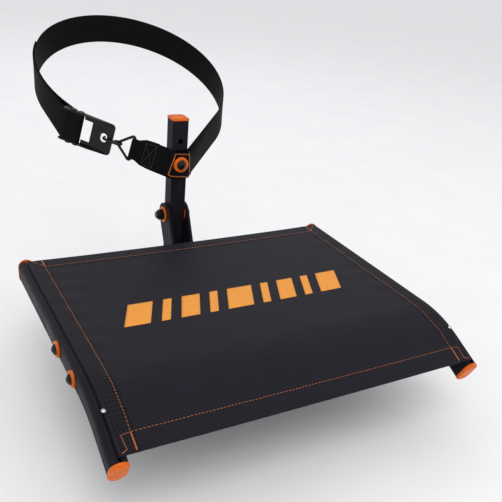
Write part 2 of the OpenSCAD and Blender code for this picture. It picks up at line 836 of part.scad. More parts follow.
// Mesh panel: a flat span over both rails with an edge tucked down into each slot
module seat_fabric() {
    half = seat_w / 2;
    tuck_from = track_z + spline_r + 0.05;
    color(mesh_grey) rail_sweep(fabric_from, fabric_to) {
        translate([-half - $grow, fabric_z - $grow]) square([seat_w + 2 * $grow, fabric_t + 2 * $grow]);
        for (x = [-half, half]) translate([x - fabric_t / 2 - $grow, tuck_from - $grow])
            square([fabric_t + 2 * $grow, fabric_z + fabric_t - tuck_from]);
    }
}

post_tube();
post_top_cap();
post_foot_cap();
tree_brace();
brace_bolts();
strap_bolt();
strap_washer();
strap_nut();
strap_patch();
strap_web();
buckle_frame();
buckle_pin();
buckle_slider();
delta_ring();
strap_hook();
pivot_bolt();
pivot_nut();
pivot_outer_washers();
pivot_inner_washers();
left_arm();
right_arm();
stop_bolt();
stop_sleeve();
stop_nut();
cross_tube();
left_end_plate();
right_end_plate();
left_rail();
right_rail();
left_rear_cap();
right_rear_cap();
left_front_cap();
right_front_cap();
left_spline();
right_spline();
spline_rivets();
rail_bolts();
rail_washers();
rail_nuts();
seat_fabric();
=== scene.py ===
"""Looks of a folding strap-on tree seat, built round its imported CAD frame."""

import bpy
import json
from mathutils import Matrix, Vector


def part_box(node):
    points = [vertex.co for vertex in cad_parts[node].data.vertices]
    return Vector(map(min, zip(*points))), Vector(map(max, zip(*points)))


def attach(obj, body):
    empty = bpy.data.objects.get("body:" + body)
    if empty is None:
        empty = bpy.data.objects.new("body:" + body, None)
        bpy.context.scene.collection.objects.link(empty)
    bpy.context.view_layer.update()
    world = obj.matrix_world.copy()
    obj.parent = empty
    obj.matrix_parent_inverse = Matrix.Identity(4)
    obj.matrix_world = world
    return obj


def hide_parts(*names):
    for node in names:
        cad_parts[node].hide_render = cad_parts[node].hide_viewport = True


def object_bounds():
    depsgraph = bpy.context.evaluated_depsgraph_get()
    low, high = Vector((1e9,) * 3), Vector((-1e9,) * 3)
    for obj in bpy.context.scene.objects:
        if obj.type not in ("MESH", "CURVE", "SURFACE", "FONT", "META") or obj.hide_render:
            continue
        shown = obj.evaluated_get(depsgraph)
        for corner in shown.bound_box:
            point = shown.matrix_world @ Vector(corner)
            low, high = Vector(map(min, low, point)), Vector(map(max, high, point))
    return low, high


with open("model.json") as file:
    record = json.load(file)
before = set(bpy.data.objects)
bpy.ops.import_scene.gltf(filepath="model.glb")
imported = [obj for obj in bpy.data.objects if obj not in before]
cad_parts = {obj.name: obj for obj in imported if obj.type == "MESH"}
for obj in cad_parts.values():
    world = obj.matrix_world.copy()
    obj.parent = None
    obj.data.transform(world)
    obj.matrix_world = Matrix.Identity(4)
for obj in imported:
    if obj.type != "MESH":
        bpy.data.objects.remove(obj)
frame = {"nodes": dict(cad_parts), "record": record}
CAD_BOX = [list(corner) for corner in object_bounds()]

import json
import logging
import math
from dataclasses import dataclass, field
from enum import Enum
from typing import Iterable, Sequence

import bpy
from mathutils import Matrix, Vector

LOG = logging.getLogger("tree_seat")
MM = 0.001
# pitches of the coarse pattern where two layers of open mesh lie on each other
BEAT_PITCHES_MM = (4.4, 5.2)
# one stitch: share of its length, share of its radius, and height over the cloth in radii
STITCH_SHAPE = ((0, 0.45, -1.1), (0.12, 0.85, -0.2), (0.5, 1.0, 0.25), (0.88, 0.85, -0.2), (1, 0.45, -1.1))
# printed bars, in metres
BAR_WIDTHS = (0.034, 0.012, 0.026, 0.012, 0.038, 0.012, 0.026, 0.012, 0.034)
BAR_GAP = 0.0145
# corners of the square sewn on the patch, in millimetres: across the post, up it, and lean
PATCH_SQUARE = ((-14.2, -17.2, -1.0), (-14.2, 17.2, 1.0), (15.8, 17.2, 2.5), (15.8, -17.2, -2.5))
Colour = tuple[float, float, float, float]
MeshData = tuple[list[Vector], list[tuple[int, ...]]]


# ------------------------------------------------------------------ small helpers


def linear(hex_code: str) -> Colour:
    """Turns an sRGB hex colour into the linear colour that a shader takes.

    Args:
        hex_code: six hex digits after a #.

    Returns:
        The linear red, green and blue, with alpha 1.
    """
    parts = [int(hex_code[i : i + 2], 16) / 255 for i in (1, 3, 5)]
    curve = [c / 12.92 if c <= 0.04045 else ((c + 0.055) / 1.055) ** 2.4 for c in parts]
    return (curve[0], curve[1], curve[2], 1.0)


def add_node(
    tree: bpy.types.NodeTree,
    kind: str,
    settings: dict[str, object] | None = None,
    inputs: dict[str | int, object] | None = None,
) -> bpy.types.Node:
    """Adds one node, sets its properties and fills or links its inputs.

    Args:
        tree: the node tree to add to.
        kind: the node's Blender type name.
        settings: the node's properties by name.
        inputs: values or output sockets by input name or number.

    Returns:
        The new node.
    """
    node = tree.nodes.new(kind)
    for name, value in (settings or {}).items():
        setattr(node, name, value)
    for name, value in (inputs or {}).items():
        if isinstance(value, bpy.types.NodeSocket):
            tree.links.new(value, node.inputs[name])
        else:
            node.inputs[name].default_value = value
    return node


def smoothstep(low: float, high: float, value: float) -> float:
    """Rises smoothly from 0 at low to 1 at high."""
    t = min(max((value - low) / (high - low), 0.0), 1.0)
    return t * t * (3 - 2 * t)


def make_piece(
    name: str,
    data: MeshData,
    material: bpy.types.Material,
    uvs: Sequence[tuple[float, float]] | None = None,
) -> bpy.types.Object:
    """Makes a smooth-shaded mesh object.

    Args:
        name: the piece's name.
        data: its points in metres and its faces.
        material: its finish.
        uvs: one pair for each point, in metres along the cloth, if the finish needs them.

    Returns:
        The new object, linked to the scene.
    """
    points, faces = data
    mesh = bpy.data.meshes.new(name)
    mesh.from_pydata([tuple(p) for p in points], [], faces)
    mesh.materials.append(material)
    if uvs is not None:
        layer = mesh.uv_layers.new(name="cloth")
        for loop in mesh.loops:
            layer.data[loop.index].uv = uvs[loop.vertex_index]
    mesh.polygons.foreach_set("use_smooth", [True] * len(mesh.polygons))
    mesh.update()
    piece = bpy.data.objects.new(name, mesh)
    bpy.context.scene.collection.objects.link(piece)
    return piece


def joined(parts: Iterable[MeshData]) -> MeshData:
    """Puts several meshes' points and faces into one.

    Args:
        parts: the meshes.

    Returns:
        All their points, and all their faces renumbered.
    """
    points: list[Vector] = []
    faces: list[tuple[int, ...]] = []
    for more_points, more_faces in parts:
        base = len(points)
        points.extend(more_points)
        faces.extend(tuple(i + base for i in face) for face in more_faces)
    return points, faces


def tube_of_rings(rings: Sequence[Sequence[Vector]], closed: bool = False) -> MeshData:
    """Skins a row of rings that all have the same number of points.

    Args:
        rings: the rings, each a closed loop of points.
        closed: joins the last ring to the first; otherwise both ends are filled.

    Returns:
        The skin's points and faces.
    """
    n = len(rings[0])
    points = [p for ring in rings for p in ring]
    spans = len(rings) if closed else len(rings) - 1
    faces: list[tuple[int, ...]] = []
    for i in range(spans):
        a, b = i * n, (i + 1) % len(rings) * n
        faces.extend((a + k, a + (k + 1) % n, b + (k + 1) % n, b + k) for k in range(n))
    if not closed:
        faces.append(tuple(reversed(range(n))))
        faces.append(tuple(range(len(points) - n, len(points))))
    return points, faces


# ------------------------------------------------------------------ finishes


class Weave(Enum):
    """The cloths of the object."""

    OPEN_MESH = "open mesh"
    WEBBING = "webbing"


def new_shader(name: str) -> tuple[bpy.types.Material, bpy.types.NodeTree, bpy.types.Node]:
    """Starts a node material.

    Args:
        name: the finish's name.

    Returns:
        The material, its tree and its main shader node.
    """
    material = bpy.data.materials.new(name)
    material.use_nodes = True
    tree = material.node_tree
    tree.nodes.clear()
    shader = add_node(tree, "ShaderNodeBsdfPrincipled")
    add_node(tree, "ShaderNodeOutputMaterial", inputs={"Surface": shader.outputs["BSDF"]})
    return material, tree, shader


def grain(tree: bpy.types.NodeTree, size_mm: float, detail: float = 3.0) -> bpy.types.NodeSocket:
    """Adds noise with grains of a real size in the object's own space.

    Args:
        tree: the node tree to add to.
        size_mm: about how wide one grain is.
        detail: how many finer layers the noise has.

    Returns:
        The noise value's socket.
    """
    place = add_node(tree, "ShaderNodeTexCoord")
    noise = add_node(
        tree, "ShaderNodeTexNoise",
        inputs={"Vector": place.outputs["Object"], "Scale": 1 / (size_mm * MM), "Detail": detail},
    )
    return noise.outputs["Fac"]


def spread(
    tree: bpy.types.NodeTree, value: bpy.types.NodeSocket,
    low: float, high: float, to_low: float, to_high: float,
) -> bpy.types.NodeSocket:
    """Maps a value from one range to another, held at its ends.

    Args:
        tree: the node tree to add to.
        value: the socket to map.
        low: the value that becomes to_low.
        high: the value that becomes to_high.
        to_low: the result at the low end.
        to_high: the result at the high end.

    Returns:
        The mapped socket.
    """
    node = add_node(
        tree, "ShaderNodeMapRange",
        inputs={"Value": value, "From Min": low, "From Max": high, "To Min": to_low, "To Max": to_high},
    )
    return node.outputs["Result"]


def math_of(tree: bpy.types.NodeTree, operation: str, a: object, b: object = 0.0) -> bpy.types.NodeSocket:
    """One step of arithmetic on sockets or numbers.

    Args:
        tree: the node tree to add to.
        operation: the Math node's operation.
        a: the first socket or number.
        b: the second socket or number.

    Returns:
        The result's socket.
    """
    return add_node(tree, "ShaderNodeMath", {"operation": operation}, {0: a, 1: b}).outputs[0]


def mixed(
    tree: bpy.types.NodeTree, share: object, first: object, second: object
) -> bpy.types.NodeSocket:
    """Mixes two colours.

    Args:
        tree: the node tree to add to.
        share: how much of the second, from 0 to 1.
        first: a colour or its socket.
        second: a colour or its socket.

    Returns:
        The mixed colour's socket.
    """
    node = add_node(tree, "ShaderNodeMix", {"data_type": "RGBA"}, {0: share, 6: first, 7: second})
    return node.outputs[2]


def emboss(
    tree: bpy.types.NodeTree, shader: bpy.types.Node, strength: float, depth_mm: float,
    height: bpy.types.NodeSocket,
) -> None:
    """Gives a shader fine relief.

    Args:
        tree: the node tree to add to.
        shader: the shader that shows the relief.
        strength: how much of the relief shows, from 0 to 1.
        depth_mm: how deep it is.
        height: the socket that it follows.
    """
    bump = add_node(
        tree, "ShaderNodeBump", inputs={"Strength": strength, "Distance": depth_mm * MM, "Height": height}
    )
    tree.links.new(bump.outputs["Normal"], shader.inputs["Normal"])


@dataclass(frozen=True)
class PowderCoat:
    """Epoxy-polyester powder, sprayed and oven-cured on steel: a dark skin with fine orange peel."""

    name: str = "powder_coat_fine_texture"
    base: str = "#140F18"
    worn: str = "#1D1722"
    grit_mm: float = 1.1
    roughness: float = 0.54

    def material(self) -> bpy.types.Material:
        """Builds the material: peel bump, faint dust and rubbed patches."""
        material, tree, shader = new_shader(self.name)
        cloud = grain(tree, 38, 4)
        rubbed = spread(tree, grain(tree, 7, 6), 0.58, 0.72, 0.0, 0.55)
        colour = mixed(tree, spread(tree, cloud, 0.3, 0.7, 0, 0.5), linear(self.base), linear(self.worn))
        dusted = mixed(tree, math_of(tree, "MULTIPLY", rubbed, 0.4), colour, linear("#38333B"))
        peel = grain(tree, self.grit_mm, 2)
        emboss(tree, shader, 0.22, 0.25, peel)
        tree.links.new(dusted, shader.inputs["Base Color"])
        rough = spread(tree, cloud, 0.3, 0.7, self.roughness - 0.07, self.roughness + 0.08)
        tree.links.new(rough, shader.inputs["Roughness"])
        shader.inputs["IOR"].default_value = 1.52
        shader.inputs["Specular IOR Level"].default_value = 0.12
        return material


@dataclass(frozen=True)
class MouldedPolypropylene:
    """Injection-moulded polypropylene, pigmented through: soft satin with a fine spark texture."""

    name: str
    base: str
    shade: str
    roughness: float = 0.38
    spark_mm: float = 0.8

    def material(self) -> bpy.types.Material:
        """Builds the material: cloudy pigment, spark texture and light scuffs."""
        material, tree, shader = new_shader(self.name)
        cloud = grain(tree, 9, 3)
        colour = mixed(tree, spread(tree, cloud, 0.35, 0.7, 0, 0.6), linear(self.base), linear(self.shade))
        scuff = spread(tree, grain(tree, 3.2, 8), 0.6, 0.75, 0, 0.35)
        scuffed = mixed(tree, scuff, colour, linear(self.shade))
        emboss(tree, shader, 0.12, 0.15, grain(tree, self.spark_mm, 2))
        tree.links.new(scuffed, shader.inputs["Base Color"])
        rough = spread(tree, cloud, 0.3, 0.7, self.roughness - 0.06, self.roughness + 0.1)
        tree.links.new(rough, shader.inputs["Roughness"])
        shader.inputs["IOR"].default_value = 1.49
        shader.inputs["Specular IOR Level"].default_value = 0.2
        shader.inputs["Subsurface Weight"].default_value = 0.06
        shader.inputs["Subsurface Radius"].default_value = (0.002, 0.0008, 0.0003)
        return material


@dataclass(frozen=True)
class BlackZincPlate:
    """Zinc plate with a black chromate dip on bolts, wire and pressings: dark metal with dulled edges."""

    name: str = "black_zinc_plate"
    base: str = "#121115"
    bright: str = "#37353C"

    def material(self) -> bpy.types.Material:
        """Builds the material: a cloudy dark metal, rubbed lighter in small patches."""
        material, tree, shader = new_shader(self.name)
        rubbed = spread(tree, grain(tree, 2.4, 6), 0.52, 0.72, 0, 0.6)
        tone = mixed(tree, rubbed, linear(self.base), linear(self.bright))
        tree.links.new(tone, shader.inputs["Base Color"])
        tree.links.new(spread(tree, grain(tree, 5, 4), 0.3, 0.7, 0.26, 0.42), shader.inputs["Roughness"])
        emboss(tree, shader, 0.1, 0.1, grain(tree, 0.7, 3))
        shader.inputs["Metallic"].default_value = 0.55
        return material


@dataclass(frozen=True)
class SpunMetal:
    """Drawn aluminium of a blind rivet's head: bright, with fine tool rings."""

    name: str = "drawn_aluminium"
    base: str = "#D9D9DC"

    def material(self) -> bpy.types.Material:
        """Builds the material: bright metal with a fine satin."""
        material, tree, shader = new_shader(self.name)
        cloud = grain(tree, 1.2, 4)
        tree.links.new(mixed(tree, cloud, linear(self.base), linear("#B9B9BE")), shader.inputs["Base Color"])
        tree.links.new(spread(tree, cloud, 0.3, 0.7, 0.24, 0.4), shader.inputs["Roughness"])
        shader.inputs["Metallic"].default_value = 1.0
        return material


@dataclass(frozen=True)
class MouldedRubber:
    """Moulded black rubber: matt, slightly dusty, with a faint bloom."""

    name: str = "moulded_rubber"
    base: str = "#151416"

    def material(self) -> bpy.types.Material:
        """Builds the material: matt black with a grey bloom."""
        material, tree, shader = new_shader(self.name)
        bloom = spread(tree, grain(tree, 6, 5), 0.45, 0.75, 0, 0.5)
        tree.links.new(mixed(tree, bloom, linear(self.base), linear("#2E2C2E")), shader.inputs["Base Color"])
        emboss(tree, shader, 0.15, 0.2, grain(tree, 1.2, 2))
        shader.inputs["Roughness"].default_value = 0.72
        return material


@dataclass(frozen=True)
class WovenCloth:
    """Woven polyester: yarns that cross over and under, with painted shade in the gaps between them.

    The pitch is the distance between yarns along and across the cloth. Real yarns are 1 to 1.5 mm
    apart, and are drawn up to twice as coarse, so that they still show in the render.
    """

    name: str
    weave: Weave
    yarn: str
    light: str
    # colour of the painted shade in the gaps between yarns
    gap: str
    across_mm: float
    along_mm: float
    bump: float
    roughness: float
    sheen: float
    gloss: float = 0.2
    doubled_from: float = 1.0

    def yarn_height(self, tree: bpy.types.NodeTree) -> tuple[bpy.types.NodeSocket, bpy.types.NodeSocket]:
        """Adds the height of crossing yarns, 0 in the gaps and 1 on top.

        Args:
            tree: the node tree to add to.

        Returns:
            The height, and a value that tells one set of yarns from the other.
        """
        place = add_node(tree, "ShaderNodeUVMap", {"uv_map": "cloth"})
        parts = add_node(tree, "ShaderNodeSeparateXYZ", inputs={0: place.outputs["UV"]})
        waves = [
            math_of(tree, "SINE", math_of(tree, "MULTIPLY", parts.outputs[i], math.pi / (pitch * MM)))
            for i, pitch in enumerate((self.across_mm, self.along_mm))
        ]
        ridge_a, ridge_b = (math_of(tree, "ABSOLUTE", w) for w in waves)
        if self.weave is Weave.WEBBING:
            # ribs across the strap, each broken where the next warp yarn dives under
            shifted = math_of(tree, "MULTIPLY", ridge_a, 0.45)
            height = math_of(tree, "ADD", math_of(tree, "MULTIPLY", ridge_b, 0.55), shifted)
            return height, ridge_a
        over = spread(tree, math_of(tree, "MULTIPLY", waves[0], waves[1]), -0.35, 0.35, 0.0, 1.0)
        doubled = self.doubled_gaps(tree, parts.outputs)
        crests = []
        for ridge, on_top in ((ridge_a, over), (ridge_b, math_of(tree, "SUBTRACT", 1.0, over))):
            lifted = add_node(
                tree, "ShaderNodeMath", {"operation": "MULTIPLY_ADD"}, {0: on_top, 1: 0.4, 2: 0.5}
            )
            crests.append(math_of(tree, "MULTIPLY", ridge, lifted.outputs[0]))
        return math_of(tree, "SUBTRACT", math_of(tree, "MAXIMUM", *crests), doubled), over

    def doubled_gaps(
        self, tree: bpy.types.NodeTree, along: Sequence[bpy.types.NodeSocket]
    ) -> bpy.types.NodeSocket:
        """Adds the coarse beat seen where two layers of open mesh lie on each other, drawn as deeper painted
        shade where both layers' gaps line up.

        Args:
            tree: the node tree to add to.
            along: the distances across and along the cloth.

        Returns:
            How far the gaps of both layers line up, 0 on the single cloth.
        """
        beats = []
        for i, pitch_mm in enumerate(BEAT_PITCHES_MM):
            phase = math_of(tree, "MULTIPLY", along[i], math.pi / (pitch_mm * MM))
            beats.append(math_of(tree, "ABSOLUTE", math_of(tree, "SINE", phase)))
        share = spread(tree, math_of(tree, "MULTIPLY", beats[0], beats[1]), 0.35, 0.8, 0.0, 0.42)
        edge = self.doubled_from
        side = math_of(tree, "ABSOLUTE", along[0])
        return math_of(tree, "MULTIPLY", share, spread(tree, side, edge, edge + 0.0006, 0.0, 1.0))

    def material(self) -> bpy.types.Material:
        """Builds the material: yarn colour, painted shade in the gaps, relief and a soft sheen."""
        material, tree, shader = new_shader(self.name)
        height, sets = self.yarn_height(tree)
        tone = mixed(tree, math_of(tree, "MULTIPLY", sets, 0.55), linear(self.yarn), linear(self.light))
        cloud = spread(tree, grain(tree, 24, 5), 0.35, 0.7, 0, 0.35)
        toned = mixed(tree, cloud, tone, linear(self.light))
        # painted shade: the low places between yarns take the gap colour
        depth = spread(tree, height, 0.35, 0.72, 0.0, 1.0)
        tree.links.new(mixed(tree, depth, linear(self.gap), toned), shader.inputs["Base Color"])
        emboss(tree, shader, self.bump, 0.4, height)
        shader.inputs["Roughness"].default_value = self.roughness
        shader.inputs["Sheen Weight"].default_value = self.sheen
        shader.inputs["Sheen Roughness"].default_value = 0.45
        shader.inputs["IOR"].default_value = 1.5
        shader.inputs["Specular IOR Level"].default_value = self.gloss
        return material


@dataclass(frozen=True)
class SpunThread:
    """Bonded polyester sewing thread: twisted plies with a slight gloss."""

    name: str
    base: str
    # colour of the painted shade in the grooves between plies
    dark: str
    ply_mm: float = 0.9

    def material(self) -> bpy.types.Material:
        """Builds the material: slanting plies seen as fine bands, the dark bands painted shade in the grooves
        between plies.
        """
        material, tree, shader = new_shader(self.name)
        place = add_node(tree, "ShaderNodeTexCoord")
        plies = add_node(
            tree, "ShaderNodeTexWave", {"wave_type": "BANDS", "bands_direction": "DIAGONAL"},
            {"Vector": place.outputs["Object"], "Scale": 1 / (self.ply_mm * 3 * MM), "Distortion": 1.5},
        )
        # painted shade: dark bands between the slanting plies
        tone = mixed(tree, plies.outputs["Fac"], linear(self.dark), linear(self.base))
        tree.links.new(tone, shader.inputs["Base Color"])
        emboss(tree, shader, 0.3, 0.1, plies.outputs["Fac"])
        shader.inputs["Roughness"].default_value = 0.55
        shader.inputs["Sheen Weight"].default_value = 0.2
        return material


@dataclass(frozen=True)
class StudioPaper:
    """Matt paper of the studio floor: pale and even, with a faint tooth."""

    name: str = "studio_paper"
    base: str = "#FAFAFA"

    def material(self) -> bpy.types.Material:
        """Builds the material: a pale matt sheet."""
        material, tree, shader = new_shader(self.name)
        tooth = spread(tree, grain(tree, 120, 2), 0.3, 0.7, 0, 1)
        tree.links.new(mixed(tree, tooth, linear(self.base), linear("#F7F7F8")), shader.inputs["Base Color"])
        shader.inputs["Roughness"].default_value = 0.9
        return material


@dataclass
class Finishes:
    """Every material of the object, made once."""

    powder: bpy.types.Material = field(default_factory=lambda: PowderCoat().material())
    plastic: bpy.types.Material = field(
        default_factory=lambda: MouldedPolypropylene("orange_polypropylene", "#E06A0E", "#C55408").material()
    )
    black_plastic: bpy.types.Material = field(
        default_factory=lambda: MouldedPolypropylene(
            "black_polypropylene", "#121114", "#1A191D", roughness=0.5
        ).material()
    )
    hardware: bpy.types.Material = field(default_factory=lambda: BlackZincPlate().material())
    rivet: bpy.types.Material = field(default_factory=lambda: SpunMetal().material())
    rubber: bpy.types.Material = field(default_factory=lambda: MouldedRubber().material())
    # third colour of each cloth below: painted shade in the gaps between its yarns
    mesh: bpy.types.Material = field(
        default_factory=lambda: WovenCloth(
            "coated_mesh_cloth", Weave.OPEN_MESH, "#171520", "#272431", "#040305",
            across_mm=2.6, along_mm=2.6, bump=0.6, roughness=0.6, sheen=0.03, gloss=0.14, doubled_from=0.2155,
        ).material()
    )
    webbing: bpy.types.Material = field(
        default_factory=lambda: WovenCloth(
            "polyester_webbing", Weave.WEBBING, "#0A090C", "#16141A", "#020203",
            across_mm=2.8, along_mm=2.0, bump=0.6, roughness=0.65, sheen=0.0, gloss=0.07,
        ).material()
    )
    print_ink: bpy.types.Material = field(
        default_factory=lambda: WovenCloth(
            "screen_print_ink", Weave.OPEN_MESH, "#FBA43A", "#FFB850", "#C8702A",
            across_mm=2.6, along_mm=2.6, bump=0.25, roughness=0.5, sheen=0.0, gloss=0.2,
        ).material()
    )
    # second colour of each thread below: painted shade between its plies
    orange_thread: bpy.types.Material = field(
        default_factory=lambda: SpunThread("orange_polyester_thread", "#D07428", "#94480F").material()
    )
    black_thread: bpy.types.Material = field(
        default_factory=lambda: SpunThread("black_polyester_thread", "#26252A", "#0E0E10").material()
    )

    def dress_frame(self, nodes: dict[str, bpy.types.Object], subparts: Sequence[dict[str, str]]) -> int:
        """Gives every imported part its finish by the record's material slot.

        Args:
            nodes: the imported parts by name.
            subparts: the record's list of parts and slots.

        Returns:
            How many parts were dressed.
        """
        by_slot = {
            "powder_coat": self.powder,
            "orange_plastic": self.plastic,
            "black_hardware": self.hardware,
            "webbing": self.webbing,
            "mesh_fabric": self.mesh,
            "spline_plastic": self.black_plastic,
            "rivet_aluminium": self.rivet,
            "stop_rubber": self.rubber,
        }
        for part in subparts:
            for slot in nodes[part["node"]].material_slots:
                slot.material = by_slot[part["material_slot"]]
        return len(subparts)


# ------------------------------------------------------------------ sewing


@dataclass(frozen=True)
class Lockstitch:
    """A row of separate stitches, each a short thread that dips into the cloth at both ends."""

    radius: float
    length: float
    gap: float
    sides: int = 6

    def along(self, path: Sequence[tuple[Vector, Vector]]) -> MeshData:
        """Sews a row along a path.

        Args:
            path: points on the cloth with their normals, in order.

        Returns:
            The stitches' points and faces.
        """
        marks = [0.0]
        for (a, _), (b, _) in zip(path, path[1:]):
            marks.append(marks[-1] + (b - a).length)

        def at(distance: float) -> tuple[Vector, Vector]:
            """Point and normal a distance along the path."""
            i = 1
            while i < len(marks) - 1 and marks[i] < distance:
                i += 1
            t = (distance - marks[i - 1]) / max(marks[i] - marks[i - 1], 1e-9)
            return path[i - 1][0].lerp(path[i][0], t), path[i - 1][1].lerp(path[i][1], t).normalized()

        count = max(int((marks[-1] + self.gap) / (self.length + self.gap)), 1)
        pitch = (marks[-1] + self.gap) / count
        parts = []
        for k in range(count):
            ends = [k * pitch, k * pitch + pitch - self.gap]
            rings = []
            for t, fat, dip in STITCH_SHAPE:
                p, n = at(ends[0] + (ends[1] - ends[0]) * t)
                ahead = (at(min(ends[1], marks[-1]))[0] - at(ends[0])[0]).normalized()
                side = ahead.cross(n).normalized()
                rings.append([
                    p + n * (self.radius * dip)
                    + (side * math.cos(a) + n * math.sin(a)) * (self.radius * fat)
                    for a in (2 * math.pi * i / self.sides for i in range(self.sides))
                ])
            parts.append(tube_of_rings(rings))
        return joined(parts)


@dataclass(frozen=True)
class Bartack:
    """A dense satin row: short stitches laid side by side across a line."""

    radius: float
    width: float
    pitch: float

    def along(self, path: Sequence[tuple[Vector, Vector]]) -> MeshData:
        """Sews a satin row along a path.

        Args:
            path: points on the cloth with their normals, in order.

        Returns:
            The stitches' points and faces.
        """
        thread = Lockstitch(self.radius, self.width, self.width)
        parts = []
        for (a, n), (b, _) in zip(path, path[1:]):
            steps = max(round((b - a).length / self.pitch), 1)
            ahead = (b - a).normalized()
            side = ahead.cross(n).normalized() * (self.width / 2)
            for k in range(steps):
                p = a.lerp(b, (k + 0.5) / steps)
                slant = ahead * (self.pitch * 0.35)
                parts.append(thread.along([(p - side - slant, n), (p + side + slant, n)]))
        return joined(parts)


# ------------------------------------------------------------------ seat


@dataclass
class RailProfile:
    """Side profile of the bent rails, in metres: straight, bend and nose."""

    rail_x: float
    setback: float
    straight: float = 0.283
    bend_r: float = 0.154
    drop: float = math.radians(24)
    nose: float = 0.047

    @property
    def length(self) -> float:
        """Length of a rail along its centre line."""
        return self.straight + self.bend_r * self.drop + self.nose

    def place(self, x: float, station: float, lift: float) -> Vector:
        """A point over the rails.

        Args:
            x: sideways place.
            station: distance along the rails from their rear end.
            lift: height above the rail's centre line, square to it.

        Returns:
            The point in the row frame.
        """
        turn = min(max(station - self.straight, 0.0), self.bend_r * self.drop) / self.bend_r
        ahead = max(station - self.straight - self.bend_r * self.drop, 0.0)
        flat = min(station, self.straight)
        y = -self.setback - flat - self.bend_r * math.sin(turn) - ahead * math.cos(turn)
        z = -self.bend_r * (1 - math.cos(turn)) - ahead * math.sin(turn)
        return Vector((x, y - math.sin(turn) * lift, z + math.cos(turn) * lift))

    def matrix(self, x: float, station: float) -> Matrix:
        """The rail's own axes at a station: X sideways, Y back along it and Z up from it."""
        turn = min(max(station - self.straight, 0.0), self.bend_r * self.drop) / self.bend_r
        return Matrix.Translation(self.place(x, station, 0)) @ Matrix.Rotation(turn, 4, "X")


